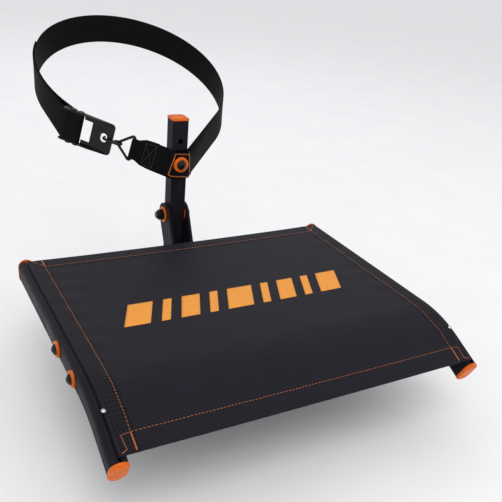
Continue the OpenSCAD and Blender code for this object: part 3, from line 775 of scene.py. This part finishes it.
@dataclass
class MeshSeat:
    """Sewn mesh panel stretched between the rails, tucked into both slots, with hems all round."""

    profile: RailProfile
    start: float = 0.008
    end: float = 0.3895
    rest_lift: float = 0.0186
    wrap_r: float = 0.003
    tuck: float = 0.0035
    cloth_t: float = 0.0012
    hem_t: float = 0.0021
    hem_side: float = 0.0245
    hem_front: float = 0.0275
    hem_rear: float = 0.0245
    seam_side: float = 0.0195
    seam_front: float = 0.0235
    seam_rear: float = 0.0200
    sag: float = 0.0024
    edge_round: float = 0.0012

    @property
    def flat_half(self) -> float:
        """Half the width of the flat part of the panel."""
        return self.profile.rail_x - self.wrap_r

    @property
    def half_cut(self) -> float:
        """Half the width that the cloth was cut to."""
        return self.flat_half + self.wrap_r * math.pi / 2 + self.tuck

    def cross(self, u: float) -> tuple[float, float, float, float]:
        """Shape of the panel across the seat.

        Args:
            u: distance across the cloth from its middle.

        Returns:
            Sideways place, lift, and the sideways and upward parts of the normal.
        """
        side, beyond = math.copysign(1, u), abs(u) - self.flat_half
        if beyond <= 0:
            return u, 0.0, 0.0, 1.0
        angle = min(beyond / self.wrap_r, math.pi / 2)
        down = max(beyond - self.wrap_r * math.pi / 2, 0.0)
        return (
            side * (self.flat_half + self.wrap_r * math.sin(angle)),
            -self.wrap_r * (1 - math.cos(angle)) - down,
            side * math.sin(angle),
            math.cos(angle),
        )

    def thickness(self, u: float, s: float) -> float:
        """Thickness of the cloth: more where a hem is folded under, thin at the raw end of a fold."""
        inside = min(
            self.profile.rail_x - abs(u) - self.hem_side,
            s - self.start - self.hem_rear,
            self.end - s - self.hem_front,
        )
        t = self.hem_t + (self.cloth_t - self.hem_t) * smoothstep(-0.0006, 0.0006, inside)
        rim = min(s - self.start, self.end - s)
        return t * (0.25 + 0.75 * math.sqrt(1 - (1 - min(rim / self.edge_round, 1)) ** 2))

    def relief(self, u: float, s: float) -> float:
        """How far the cloth leaves its flat rest: sag, pull ripples and the sunk seams."""
        from_side = self.profile.rail_x - abs(u)
        across = max(1 - (u / self.flat_half) ** 2, 0.0)
        phase = math.pi * (s - self.start) / (self.end - self.start)
        sag = -self.sag * across * (0.75 + 0.25 * math.sin(phase))
        ripple = 0.00035 * math.sin(s * 2 * math.pi / 0.037 + 2.1 * math.sin(u * 13))
        fade = math.exp(-max(from_side - self.hem_side, 0) / 0.03)
        pull = ripple * fade * smoothstep(0.004, 0.02, from_side)
        front = self.end - s
        fade = math.exp(-max(front - self.hem_front, 0) / 0.035)
        lean = 0.00030 * math.sin(u * 2 * math.pi / 0.052 + 0.7) * fade
        seams = (
            (from_side - self.seam_side, 1.0),
            (s - self.start - self.seam_rear, 1.0 if from_side > self.seam_side else 0.0),
            (front - self.seam_front, 1.0 if from_side > self.seam_side else 0.0),
        )
        sunk = sum(w * math.exp(-((d / 0.0011) ** 2)) for d, w in seams)
        return sag + (pull + lean) * smoothstep(0, 0.02, front) - 0.00035 * min(sunk, 1.0)

    def surface(self, u: float, s: float, face: float) -> Vector:
        """A point on the cloth.

        Args:
            u: distance across the cloth from its middle.
            s: distance along the rails.
            face: 1 on the top face, -1 on the underside, 0 in the middle.

        Returns:
            The point in the row frame.
        """
        x, lift, nx, nz = self.cross(u)
        half_t = self.thickness(u, s) / 2 * face
        height = self.rest_lift + lift + self.relief(u, s) * nz + nz * half_t
        return self.profile.place(x + nx * half_t, s, height)

    def normal(self, u: float, s: float) -> Vector:
        """Upward normal of the top face."""
        d = 0.002
        a = self.surface(u + d, s, 1) - self.surface(u - d, s, 1)
        b = self.surface(u, s - d, 1) - self.surface(u, s + d, 1)
        return a.cross(b).normalized()

    @staticmethod
    def lines(low: float, high: float, step: float, features: Sequence[float]) -> list[float]:
        """Grid lines that crowd round seams and hems.

        Args:
            low: the first line.
            high: the last line.
            step: usual distance between lines.
            features: where the lines crowd.

        Returns:
            The lines in order, none closer than a third of a millimetre.
        """
        count = round((high - low) / step)
        found = [low + (high - low) * i / count for i in range(count + 1)]
        near = [f + d * MM for f in features for d in (-2, -1.2, -0.6, 0, 0.6, 1.2, 2)]
        found += [value for value in near if low < value < high]
        kept = [low]
        for value in sorted(found)[1:]:
            if value - kept[-1] > 0.34 * MM:
                kept.append(value)
        kept[-1] = high
        return kept

    def build(self, finishes: Finishes) -> bpy.types.Object:
        """Makes the closed panel.

        Args:
            finishes: the object's materials.

        Returns:
            The panel.
        """
        rail_x = self.profile.rail_x
        marks = [
            rail_x - self.hem_side, rail_x - self.seam_side,
            self.flat_half, self.flat_half + 0.002, rail_x + 0.0015,
        ]
        both = [m * side for m in marks for side in (-1, 1)]
        across = self.lines(-self.half_cut, self.half_cut, 0.0048, both)
        along = self.lines(self.start, self.end, 0.0042, [
            self.start + 0.0005, self.start + self.seam_rear, self.start + self.hem_rear,
            self.end - self.hem_front, self.end - self.seam_front, self.end - 0.0005,
        ])
        nu, ns = len(across), len(along)
        points = [self.surface(u, s, face) for face in (1, -1) for s in along for u in across]
        uvs = [(u, s) for _ in (1, -1) for s in along for u in across]
        low = nu * ns
        faces: list[tuple[int, ...]] = []
        for j in range(ns - 1):
            for i in range(nu - 1):
                a = j * nu + i
                faces.append((a, a + nu, a + nu + 1, a + 1))
                faces.append((low + a, low + a + 1, low + a + nu + 1, low + a + nu))
        for i in range(nu - 1):
            last = (ns - 1) * nu + i
            faces.append((i, i + 1, low + i + 1, low + i))
            faces.append((last + 1, last, low + last, low + last + 1))
        for j in range(ns - 1):
            a, b = j * nu, j * nu + nu - 1
            faces.append((a + nu, a, low + a, low + a + nu))
            faces.append((b, b + nu, low + b + nu, low + b))
        panel = make_piece("seat_panel", (points, faces), finishes.mesh, uvs)
        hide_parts("seat_fabric")
        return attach(panel, "seat")

    def seam_path(
        self, ends: tuple[tuple[float, float], tuple[float, float]], steps: int, face: float = 1
    ) -> list[tuple[Vector, Vector]]:
        """Points of a straight seam on the cloth.

        Args:
            ends: the first and last (across, along) places.
            steps: how many pieces the path has.
            face: 1 for the top of the cloth, -1 for its underside.

        Returns:
            Points on that face with their normals.
        """
        (u0, s0), (u1, s1) = ends
        places = [(u0 + (u1 - u0) * k / steps, s0 + (s1 - s0) * k / steps) for k in range(steps + 1)]
        return [(self.surface(u, s, face), self.normal(u, s) * face) for u, s in places]

    def sew(self, finishes: Finishes) -> list[bpy.types.Object]:
        """Sews the hems: a row along each side and bartacks at the corners.

        Args:
            finishes: the object's materials.

        Returns:
            The sewn pieces.
        """
        seam_u = self.profile.rail_x - self.seam_side
        rear, front = self.start + self.seam_rear, self.end - self.seam_front
        row = Lockstitch(0.38 * MM, 3.3 * MM, 1.1 * MM)
        runs = [((u, self.start + 0.003), (u, self.end - 0.003)) for u in (-seam_u, seam_u)]
        runs += [((-seam_u, s), (seam_u, s)) for s in (rear, front)]
        rows = joined(row.along(self.seam_path(run, 90, face)) for run in runs for face in (1, -1))
        stitching = make_piece("seat_hem_stitching", rows, finishes.orange_thread)
        tack = Bartack(0.36 * MM, 2.4 * MM, 0.8 * MM)
        outer = self.flat_half - 0.0035
        corners = []
        for side in (-1, 1):
            elbow = (side * (outer - 0.002), front + 0.0015)
            heel = (side * (outer - 0.0035), self.end - 0.0055)
            corners += [
                ((side * seam_u, front + 0.001), (side * seam_u, self.end - 0.0025)),
                ((side * seam_u, self.start + 0.002), (side * seam_u, rear - 0.001)),
                ((side * seam_u, front), elbow),
                (elbow, heel),
                (heel, (side * (outer + 0.003), self.end - 0.0025)),
                ((side * seam_u, rear - 0.001), (side * outer, self.start + 0.004)),
            ]
        thin = Bartack(0.30 * MM, 1.1 * MM, 0.8 * MM)
        tacks = joined(
            (tack if i % 6 < 2 else thin).along(self.seam_path(ends, 10)) for i, ends in enumerate(corners)
        )
        bars = make_piece("seat_corner_bartacks", tacks, finishes.orange_thread)
        for piece in (stitching, bars):
            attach(piece, "seat")
        return [stitching, bars]

    def print_bars(self, finishes: Finishes) -> bpy.types.Object:
        """Prints a plain row of slanted bars in ink across the middle of the seat.

        Args:
            finishes: the object's materials.

        Returns:
            The print.
        """
        near, far, slant = 0.213, 0.163, 0.022
        total = sum(BAR_WIDTHS) + BAR_GAP * (len(BAR_WIDTHS) - 1)
        left = -total / 2
        ink, parts, uvs = 0.00018, [], []
        for w in BAR_WIDTHS:
            nu, ns = max(round(w / 0.004), 4), 14
            grid = [
                (left + w * i / nu + slant * (0.5 - j / ns), far + (near - far) * j / ns)
                for j in range(ns + 1) for i in range(nu + 1)
            ]
            top = [self.surface(u, s, 1) + self.normal(u, s) * ink for u, s in grid]
            base = [self.surface(u, s, 1) - self.normal(u, s) * ink for u, s in grid]
            n, row = len(grid), nu + 1
            faces: list[tuple[int, ...]] = []
            for j in range(ns):
                for i in range(nu):
                    a = j * row + i
                    faces.append((a, a + row, a + row + 1, a + 1))
                    faces.append((n + a, n + a + 1, n + a + row + 1, n + a + row))
            rim = (
                [i for i in range(nu)] + [j * row + nu for j in range(ns)]
                + [ns * row + i for i in range(nu, 0, -1)] + [j * row for j in range(ns, 0, -1)]
            )
            faces.extend((a, b, n + b, n + a) for a, b in zip(rim, rim[1:] + rim[:1]))
            parts.append((top + base, faces))
            uvs.extend(grid + grid)
            left += w + BAR_GAP
        piece = make_piece("seat_printed_bars", joined(parts), finishes.print_ink, uvs)
        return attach(piece, "seat")


# ------------------------------------------------------------------ caps and welds


@dataclass(frozen=True)
class CapOutline:
    """Outline of a moulded cap: a flat oval or a rounded square, in metres."""

    width: float
    height: float
    corner: float

    def ring(self, inset: float, level: float) -> list[Vector]:
        """One closed ring of the cap.

        Args:
            inset: how far the ring lies inside the outline.
            level: how far it stands out from the tube's end.

        Returns:
            Its points, with X across, Y outward and Z along the height.
        """
        r = max(self.corner - inset, 0.0002)
        hx, hz = self.width / 2 - inset - r, self.height / 2 - inset - r
        points = []
        for quarter, (sx, sz) in enumerate(((1, 1), (-1, 1), (-1, -1), (1, -1))):
            for k in range(13):
                a = math.pi / 2 * (quarter + k / 12)
                points.append(Vector((
                    sx * max(hx, 0) + r * math.cos(a), -level, sz * max(hz, 0) + r * math.sin(a)
                )))
        return points


@dataclass
class MouldedCap:
    """An end cap with a flange, a rounded shoulder and a shallow dome."""

    outline: CapOutline
    wall: float
    dome: float
    shoulder: float = 0.0012

    def data(self) -> MeshData:
        """Builds the cap's closed shell, standing on the tube's end."""
        deepest = min(self.outline.width, self.outline.height) / 2
        flange = (
            (0.0006, 0.0), (0.0001, 0.00015), (0, 0.0005),
            (0, self.wall - 0.0006), (0.00012, self.wall - 0.0004), (0.00012, self.wall),
        )
        rings = [self.outline.ring(inset, level) for inset, level in flange]
        for k in range(1, 7):
            a = math.pi / 2 * k / 6
            rings.append(self.outline.ring(
                0.00012 + self.shoulder * (1 - math.cos(a)), self.wall + self.shoulder * math.sin(a)
            ))
        rest = deepest - self.shoulder - 0.0004
        for k in range(1, 9):
            t = k / 8
            rings.append(self.outline.ring(
                0.00012 + self.shoulder + rest * t,
                self.wall + self.shoulder + (self.dome - self.shoulder) * math.sin(math.pi / 2 * t),
            ))
        return tube_of_rings(rings)

    def build(self, name: str, place: Matrix, body: str, finishes: Finishes) -> bpy.types.Object:
        """Makes one cap.

        Args:
            name: the CAD node that it stands for.
            place: the cap's axes on its tube.
            body: the body it moves with.
            finishes: the object's materials.

        Returns:
            The cap.
        """
        points, faces = self.data()
        piece = make_piece(f"{name}_moulded", ([place @ p for p in points], faces), finishes.plastic)
        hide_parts(name)
        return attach(piece, body)


@dataclass
class CrossFrameWelds:
    """Fillet welds round the ends of the cross tube and where it passes the arms."""

    centre: Vector
    tube_r: float
    bead_r: float = 0.0017
    ripples: int = 46

    def bead(self, x: float, lean: float) -> MeshData:
        """One ring of weld.

        Args:
            x: its sideways place.
            lean: -1 or 1, the side of the plate that it lies on.

        Returns:
            The bead's points and faces.
        """
        rings = []
        steps = self.ripples * 4
        for i in range(steps):
            a = 2 * math.pi * i / steps
            saw = (i % 4) / 4
            r = self.bead_r * (0.88 + 0.18 * saw + 0.06 * math.sin(5 * a + x * 90))
            radial = Vector((0, math.cos(a), math.sin(a)))
            middle = self.centre + radial * (self.tube_r + 0.0002) + Vector((x - self.centre.x, 0, 0))
            rings.append([
                middle + radial * (r * math.cos(b)) + Vector((lean * r * math.sin(b), 0, 0))
                for b in (2 * math.pi * k / 8 for k in range(8))
            ])
        return tube_of_rings(rings, closed=True)

    def build(self, plates: Sequence[tuple[float, float]], finishes: Finishes) -> bpy.types.Object:
        """Makes all the beads as one piece.

        Args:
            plates: sideways place and side of each bead.
            finishes: the object's materials.

        Returns:
            The welds.
        """
        beads = joined(self.bead(x, lean) for x, lean in plates)
        piece = make_piece("cross_frame_welds", beads, finishes.powder)
        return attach(piece, "seat")


# ------------------------------------------------------------------ strap


@dataclass
class Section:
    """One section of webbing, in millimetres."""

    centre: Vector
    out: Vector
    across: Vector
    width: float
    thick: float = 1.8


@dataclass
class Ribbon:
    """A run of webbing through a row of sections."""

    sections: list[Section]

    def marks(self) -> list[float]:
        """Distance along the run at each section."""
        found = [0.0]
        for a, b in zip(self.sections, self.sections[1:]):
            found.append(found[-1] + (b.centre - a.centre).length)
        return found

    def at(self, distance: float) -> Section:
        """The section a distance along the run."""
        marks = self.marks()
        i = 1
        while i < len(marks) - 1 and marks[i] < distance:
            i += 1
        a, b = self.sections[i - 1], self.sections[i]
        t = (distance - marks[i - 1]) / max(marks[i] - marks[i - 1], 1e-9)
        return Section(
            a.centre.lerp(b.centre, t),
            a.out.lerp(b.out, t).normalized(),
            a.across.lerp(b.across, t).normalized(),
            a.width + (b.width - a.width) * t, a.thick + (b.thick - a.thick) * t,
        )

    def outline(self, section: Section) -> tuple[list[Vector], list[float]]:
        """The rounded outline of one section.

        Args:
            section: the section.

        Returns:
            Its points in metres, and each point's distance across the webbing in metres.
        """
        r, half = section.thick / 2, section.width / 2
        flat = [-half + r + (2 * half - 2 * r) * k / 8 for k in range(9)]
        shape = [(a, r * (0.94 + 0.06 * abs(a) / half)) for a in flat]
        shape += [(half - r + r * math.cos(t), r * math.sin(t)) for t in (math.pi / 4, 0, -math.pi / 4)]
        shape += [(a, -r * (0.94 + 0.06 * abs(a) / half)) for a in reversed(flat)]
        shape += [(-half + r - r * math.cos(t), -r * math.sin(t)) for t in (math.pi / 4, 0, -math.pi / 4)]
        return (
            [(section.centre + section.across * a + section.out * o) * MM for a, o in shape],
            [a * MM for a, _ in shape],
        )

    def build(self, name: str, finishes: Finishes) -> bpy.types.Object:
        """Makes the webbing as one closed piece.

        Args:
            name: the piece's name.
            finishes: the object's materials.

        Returns:
            The webbing.
        """
        rings, uvs = [], []
        for section, mark in zip(self.sections, self.marks()):
            ring, across = self.outline(section)
            rings.append(ring)
            uvs.extend((a, mark * MM) for a in across)
        return make_piece(name, tube_of_rings(rings), finishes.webbing, uvs)

    def line(
        self, start: tuple[float, float], end: tuple[float, float], steps: int
    ) -> list[tuple[Vector, Vector]]:
        """A straight seam line on the webbing's outer face.

        Args:
            start: distance along and across, in millimetres.
            end: the same for the other end.
            steps: how many pieces the path has.

        Returns:
            Points in metres with their normals.
        """
        path = []
        for k in range(steps + 1):
            t = k / steps
            s = self.at(start[0] + (end[0] - start[0]) * t)
            across = start[1] + (end[1] - start[1]) * t
            path.append(((s.centre + s.across * across + s.out * (s.thick / 2 + 0.05)) * MM, s.out))
        return path


@dataclass
class TrunkStrap:
    """Webbing that crosses the post, rings the trunk and runs through the buckle, in millimetres."""

    post_w: float = 25.0
    post_corner: float = 3.0
    thick: float = 1.8
    width: float = 44.0
    gap: float = 0.15
    trunk: Vector = field(default_factory=lambda: Vector((-8.0, 162.0)))
    trunk_r: float = 150.0
    base_z: float = 130.0
    rise: float = 0.41
    ring_at: float = 62.0
    ring_wire_r: float = 2.0
    ring_y: float = -0.2
    gathered_w: float = 31.0
    buckle_at: float = 92.5
    pin_u: float = 53.0
    pin_y: float = 4.2
    pin_r: float = 3.25
    slider_u: float = 65.0
    slider_r: float = 2.4
    slider_travel: float = 5.0
    tail_lift: float = 2.4
    tail_end: float = 150.0
    patch_reach: float = 6.0

    def __post_init__(self) -> None:
        """Works out the tangent lines from the post to the trunk."""
        self.route_r = self.trunk_r + self.gap + self.thick / 2
        self.corner_r = self.post_corner + self.gap + self.thick / 2
        inset = self.post_w / 2 - self.post_corner
        self.corner_l = Vector((-inset, self.post_corner - self.post_w))
        self.corner_rt = Vector((inset, self.post_corner - self.post_w))
        self.front_y = -self.post_w - self.gap - self.thick / 2
        self.left_heading = self.tangent(self.corner_l, 1)
        self.right_heading = self.tangent(self.corner_rt, -1)
        self.left_start = self.corner_l + self.polar(self.corner_r, self.left_heading + 90)
        self.left_dir = self.polar(1, self.left_heading)
        self.left_out = self.polar(1, self.left_heading + 90)
        self.slope = math.atan(self.rise * self.left_dir.y)

    @staticmethod
    def polar(r: float, degrees: float) -> Vector:
        """A point of the plan at a radius and heading."""
        return Vector((r * math.cos(math.radians(degrees)), r * math.sin(math.radians(degrees))))

    def tangent(self, corner: Vector, side: int) -> float:
        """Heading in degrees of the outer tangent from a corner of the post to the trunk."""
        to_trunk = self.trunk - corner
        lean = math.asin((self.route_r - self.corner_r) / to_trunk.length)
        return math.degrees(math.atan2(to_trunk.y, to_trunk.x) + side * lean)

    def height(self, y: float) -> float:
        """Height of the strap's middle at a depth."""
        return self.base_z + self.rise * (y - self.front_y)

    def level(self, p: Vector, heading: float, width: float | None = None) -> Section:
        """A section whose webbing stays upright while it climbs."""
        d = self.polar(1, heading)
        slope = self.rise * d.y
        across = Vector((-slope * d.x, -slope * d.y, 1)).normalized()
        centre, out = Vector((p.x, p.y, self.height(p.y))), Vector((d.y, -d.x, 0))
        return Section(centre, out, across, width or self.width, self.thick)

    def round(self, centre: Vector, r: float, angle: float, width: float | None = None) -> Section:
        """A section on a level circle."""
        return self.level(centre + self.polar(r, angle), angle + 90, width)

    def near_buckle(self, at: float, y: float, turn: float = 0.0, width: float | None = None) -> Section:
        """A section on the straight left side, turned back by an angle as round a bar."""
        line = self.left_start + self.left_dir * at
        p = line + self.left_out * y
        ahead, cos_s, sin_s = self.left_dir, math.cos(self.slope), math.sin(self.slope)
        along = Vector((ahead.x * cos_s, ahead.y * cos_s, sin_s))
        out = Vector((self.left_out.x, self.left_out.y, 0))
        across = Vector((-ahead.x * sin_s, -ahead.y * sin_s, cos_s))
        t = math.radians(turn)
        return Section(
            Vector((p.x, p.y, self.height(line.y))), out * math.cos(t) + along * math.sin(t), across,
            width or self.width, self.thick,
        )

    def leave_angle(self, at: float, y: float, r: float) -> float:
        """Angle round the trunk where webbing bound for a point near the buckle leaves a circle."""
        v = self.left_start + self.left_dir * at + self.left_out * y - self.trunk
        return math.degrees(math.atan2(v.y, v.x) - math.acos(r / v.length)) + 360

    def post_corners(self, r: float, width: float | None = None) -> list[Section]:
        """Sections round the post's two front corners, from the left to the right.

        Args:
            r: radius of the turn round each corner.
            width: width of the webbing, if it isn't the strap's own.

        Returns:
            Seven sections for each corner.
        """
        left, turn = self.left_heading + 90, 180 - self.left_heading
        rows = [self.round(self.corner_l, r, left + k * turn / 6, width) for k in range(7)]
        rows += [self.round(self.corner_rt, r, 270 + k * self.right_heading / 6, width) for k in range(7)]
        return rows

    def strap(self) -> Ribbon:
        """The whole strap, from its sewn end at the ring to its free tail."""
        cos_slope = math.cos(self.slope)
        pin_at = self.buckle_at + self.pin_u * cos_slope
        pin_wrap = self.pin_r + self.gap + self.thick / 2
        ring_wrap = self.ring_wire_r + self.gap + self.thick / 2
        tail_r = self.route_r + self.tail_lift
        over_at = self.buckle_at + (self.slider_u + self.slider_travel + 4) * cos_slope
        over_y = self.pin_y + self.slider_r + self.gap + self.thick / 2 + 0.3
        leaves = self.leave_angle(pin_at, self.pin_y - pin_wrap, self.route_r)
        tail_leaves = self.leave_angle(over_at, over_y, tail_r)
        under_y = -self.thick - self.gap
        full, drawn_in = self.width, (self.gathered_w + self.width - 3) / 2
        inner = (
            (26, under_y, full), (36, under_y, full - 0.8), (46, under_y, full - 3),
            (51, -2.3, drawn_in), (56, -2.6, self.gathered_w),
        )
        outer = (
            (56, 1.6, self.gathered_w), (51, 0.8, drawn_in), (46, 0, full - 3),
            (36, 0, full - 0.8), (26, 0, full), (8, 0, full),
        )
        rows = [self.near_buckle(at, y, 180, w) for at, y, w in inner]
        rows += [
            self.near_buckle(
                self.ring_at + ring_wrap * math.sin(math.radians(f)),
                self.ring_y - ring_wrap * math.cos(math.radians(f)), 180 - f, self.gathered_w,
            )
            for f in range(0, 181, 15)
        ]
        rows += [self.near_buckle(at, y, 0, w) for at, y, w in outer]
        rows += self.post_corners(self.corner_r)
        start = self.right_heading - 90
        rows += [self.round(self.trunk, self.route_r, start + k * (leaves - start) / 96) for k in range(97)]
        rows += [
            self.near_buckle(
                pin_at - pin_wrap * math.sin(math.radians(f)),
                self.pin_y - pin_wrap * math.cos(math.radians(f)), f,
            )
            for f in range(0, 181, 15)
        ]
        rows.append(self.near_buckle(over_at, over_y, 180))
        for k in range(25):
            angle = tail_leaves + k * (self.tail_end - tail_leaves) / 24
            rows.append(self.level(self.trunk + self.polar(tail_r, angle), angle - 90))
        return Ribbon(rows)

    def patch(self) -> Ribbon:
        """The short doubling patch over the front of the post."""
        lift = self.thick + 0.1
        width = self.width - 3
        r = self.corner_r + lift
        left = self.left_start + self.left_dir * self.patch_reach + self.left_out * lift
        right = self.corner_rt + self.polar(r, self.right_heading - 90)
        right += self.polar(self.patch_reach, self.right_heading)
        rows = [self.level(left, self.left_heading + 180, width)]
        rows += self.post_corners(r, width)
        rows.append(self.level(right, self.right_heading, width))
        return Ribbon(rows)

    def build(self, finishes: Finishes) -> list[bpy.types.Object]:
        """Makes the strap, its patch and their sewing.

        Args:
            finishes: the object's materials.

        Returns:
            All the strap's pieces.
        """
        strap, patch = self.strap(), self.patch()
        web = strap.build("trunk_webbing", finishes)
        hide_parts("strap_web")
        doubling = patch.build("post_doubling_patch", finishes)
        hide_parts("strap_patch")
        half = patch.marks()[-1] / 2
        tack = Bartack(0.36 * MM, 1.9 * MM, 0.8 * MM)
        # the sewn square sits a little askew, leaning right at the top
        corners = [(half + x + lean, z - x * 0.09) for x, z, lean in PATCH_SQUARE]
        box = list(zip(corners, corners[1:] + corners[:1]))
        satin = joined(tack.along(patch.line(a, b, 16)) for a, b in box)
        square = make_piece("post_patch_stitching", satin, finishes.orange_thread)
        turned = [i for i, s in enumerate(strap.sections) if s.width == self.gathered_w]
        end_mark = strap.marks()[turned[-1]]
        row = Lockstitch(0.4 * MM, 3.2 * MM, 1.1 * MM)
        a, b = end_mark + 12, end_mark + 29
        near, far = 16, 18
        sewn = (
            ((a, -near), (a, near)), ((b, -far), (b, far)), ((a, -near), (b, -far)),
            ((a, near), (b, far)), ((a, -near), (b, far)), ((a, near), (b, -far)),
        )
        rows = joined(row.along(strap.line(p, q, 8)) for p, q in sewn)
        end_box = make_piece("strap_end_stitching", rows, finishes.black_thread)
        pieces = [web, doubling, square, end_box]
        for piece in pieces:
            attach(piece, "post")
        return pieces


# ------------------------------------------------------------------ studio


@dataclass(frozen=True)
class SoftBox:
    """A square studio light aimed at the seat."""

    name: str
    place: tuple[float, float, float]
    size: float
    watts: float
    tint: str = "#FFFFFF"

    def build(self, target: Vector) -> bpy.types.Object:
        """Sets the light up.

        Args:
            target: the point it faces.

        Returns:
            The light.
        """
        lamp = bpy.data.lights.new(self.name, "AREA")
        lamp.shape, lamp.size, lamp.energy = "SQUARE", self.size, self.watts
        lamp.color = linear(self.tint)[:3]
        light = bpy.data.objects.new(self.name, lamp)
        light.location = self.place
        light.rotation_euler = (Vector(self.place) - target).to_track_quat("Z", "Y").to_euler()
        bpy.context.scene.collection.objects.link(light)
        return light


@dataclass
class Studio:
    """Pale floor, soft lights and the camera."""

    floor_z: float
    camera_place: Vector = field(default_factory=lambda: Vector((-0.4002, -0.9157, 0.4448)))
    azimuth: float = -31.95
    elevation: float = 29.83
    roll: float = 6.44
    lens: float = 47.32
    rise: float = 0.12

    def camera(self) -> bpy.types.Object:
        """Places the camera by its heading, height and roll.

        Returns:
            The camera, made the scene's own.
        """
        a, e, r = (math.radians(v) for v in (self.azimuth, self.elevation, self.roll))
        back = Vector((math.sin(a) * math.cos(e), -math.cos(a) * math.cos(e), math.sin(e)))
        right = (-back).cross(Vector((0, 0, 1))).normalized()
        up = right.cross(-back)
        x_axis = right * math.cos(r) + up * math.sin(r)
        y_axis = up * math.cos(r) - right * math.sin(r)
        data = bpy.data.cameras.new("camera")
        data.sensor_width, data.lens, data.shift_y = 36.0, self.lens, self.rise
        camera = bpy.data.objects.new("camera", data)
        turn = Matrix((x_axis, y_axis, back)).transposed().to_4x4()
        camera.matrix_world = Matrix.Translation(self.camera_place) @ turn
        bpy.context.scene.collection.objects.link(camera)
        bpy.context.scene.camera = camera
        return camera

    def floor(self) -> bpy.types.Object:
        """Lays a large sheet of pale paper.

        Returns:
            The floor, attached to no body.
        """
        steps, reach = 8, 20.0
        points = [
            Vector((reach * (2 * i / steps - 1), reach * (2 * j / steps - 1), self.floor_z))
            for j in range(steps + 1) for i in range(steps + 1)
        ]
        row = steps + 1
        starts = [j * row + i for j in range(steps) for i in range(steps)]
        faces = [(a, a + 1, a + row + 1, a + row) for a in starts]
        sheet = make_piece("studio_floor", (points, faces), StudioPaper().material())
        return sheet

    def lights(self, target: Vector) -> list[bpy.types.Object]:
        """Sets up the lights and a pale room.

        Args:
            target: the point that the lights face.

        Returns:
            The lights.
        """
        world = bpy.data.worlds.new("pale_room")
        world.use_nodes = True
        tree = world.node_tree
        tree.nodes.clear()
        glow = add_node(tree, "ShaderNodeBackground", inputs={"Color": linear("#F6F7F9"), "Strength": 0.84})
        add_node(tree, "ShaderNodeOutputWorld", inputs={"Surface": glow.outputs["Background"]})
        bpy.context.scene.world = world
        boxes = (
            SoftBox("key_light", (-0.5, -1.5, 2.2), 1.5, 17, "#FFFBF6"),
            SoftBox("fill_light", (1.8, -1.2, 1.6), 1.6, 4),
            SoftBox("back_light", (0.4, 1.9, 2.0), 1.4, 6, "#F6FAFF"),
        )
        return [box.build(target) for box in boxes]


# ------------------------------------------------------------------ assembly


def cap_places(profile: RailProfile) -> Iterable[tuple[str, Matrix]]:
    """Where the four rail caps go.

    Args:
        profile: the rails' side profile.

    Yields:
        Each cap's CAD node and its axes.
    """
    clear = Matrix.Translation((0, -0.00005, 0))
    for side, word in ((-1, "left"), (1, "right")):
        x = side * profile.rail_x
        yield f"{word}_front_cap", profile.matrix(x, profile.length) @ clear
        yield f"{word}_rear_cap", profile.matrix(x, 0) @ Matrix.Rotation(math.pi, 4, "Z") @ clear


def main() -> None:
    """Builds the object's looks piece by piece and reports each."""
    logging.basicConfig(level=logging.INFO, format="%(message)s")
    bpy.context.scene.view_settings.view_transform = "Standard"
    rail_low, rail_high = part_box("left_rail")
    profile = RailProfile(rail_x=-(rail_low.x + rail_high.x) / 2, setback=-rail_high.y)
    studio = Studio(floor_z=CAD_BOX[0][2] - 0.0002)
    studio.camera()
    studio.floor()
    LOG.info("studio: floor, camera and %d lights", len(studio.lights(Vector((0, -0.2, 0.05)))))

    finishes = Finishes()
    dressed = finishes.dress_frame(frame["nodes"], frame["record"]["subparts"])
    LOG.info("frame: %d parts dressed", dressed)

    seat = MeshSeat(profile)
    panel = seat.build(finishes)
    sewing = seat.sew(finishes)
    bars = seat.print_bars(finishes)
    LOG.info("seat: %d points in the panel, %d sewn pieces", len(panel.data.vertices), len(sewing))

    rail_cap = MouldedCap(CapOutline(0.0217, 0.0362, 0.01085), wall=0.0018, dome=0.0029, shoulder=0.0024)
    for name, place in cap_places(profile):
        LOG.info("cap: %s", rail_cap.build(name, place, "seat", finishes).name)
    post_cap = MouldedCap(CapOutline(0.0266, 0.0266, 0.0040), wall=0.0012, dome=0.0034, shoulder=0.0026)
    post_low, post_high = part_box("post_tube")
    middle = (post_low + post_high) / 2
    for name, z, turn in (("post_top_cap", post_high.z, -90), ("post_foot_cap", post_low.z, 90)):
        place = Matrix.Translation((middle.x, middle.y, z)) @ Matrix.Rotation(math.radians(turn), 4, "X")
        LOG.info("cap: %s", post_cap.build(name, place, "post", finishes).name)

    tube_low, tube_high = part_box("cross_tube")
    arm_low, arm_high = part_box("right_arm")
    welds = CrossFrameWelds((tube_low + tube_high) / 2, (tube_high.z - tube_low.z) / 2)
    sides = [(side * x, -side * lean) for side in (-1, 1) for x, lean in (
        (tube_high.x - 0.0004, 1), (arm_low.x - 0.0004, 1), (arm_high.x + 0.0004, -1))]
    LOG.info("welds: %s", welds.build(sides, finishes).name)

    strap = TrunkStrap()
    LOG.info("strap: %d pieces, %.0f mm of webbing", len(strap.build(finishes)), strap.strap().marks()[-1])

    bpy.context.view_layer.update()


if __name__ == "__main__":
    main()
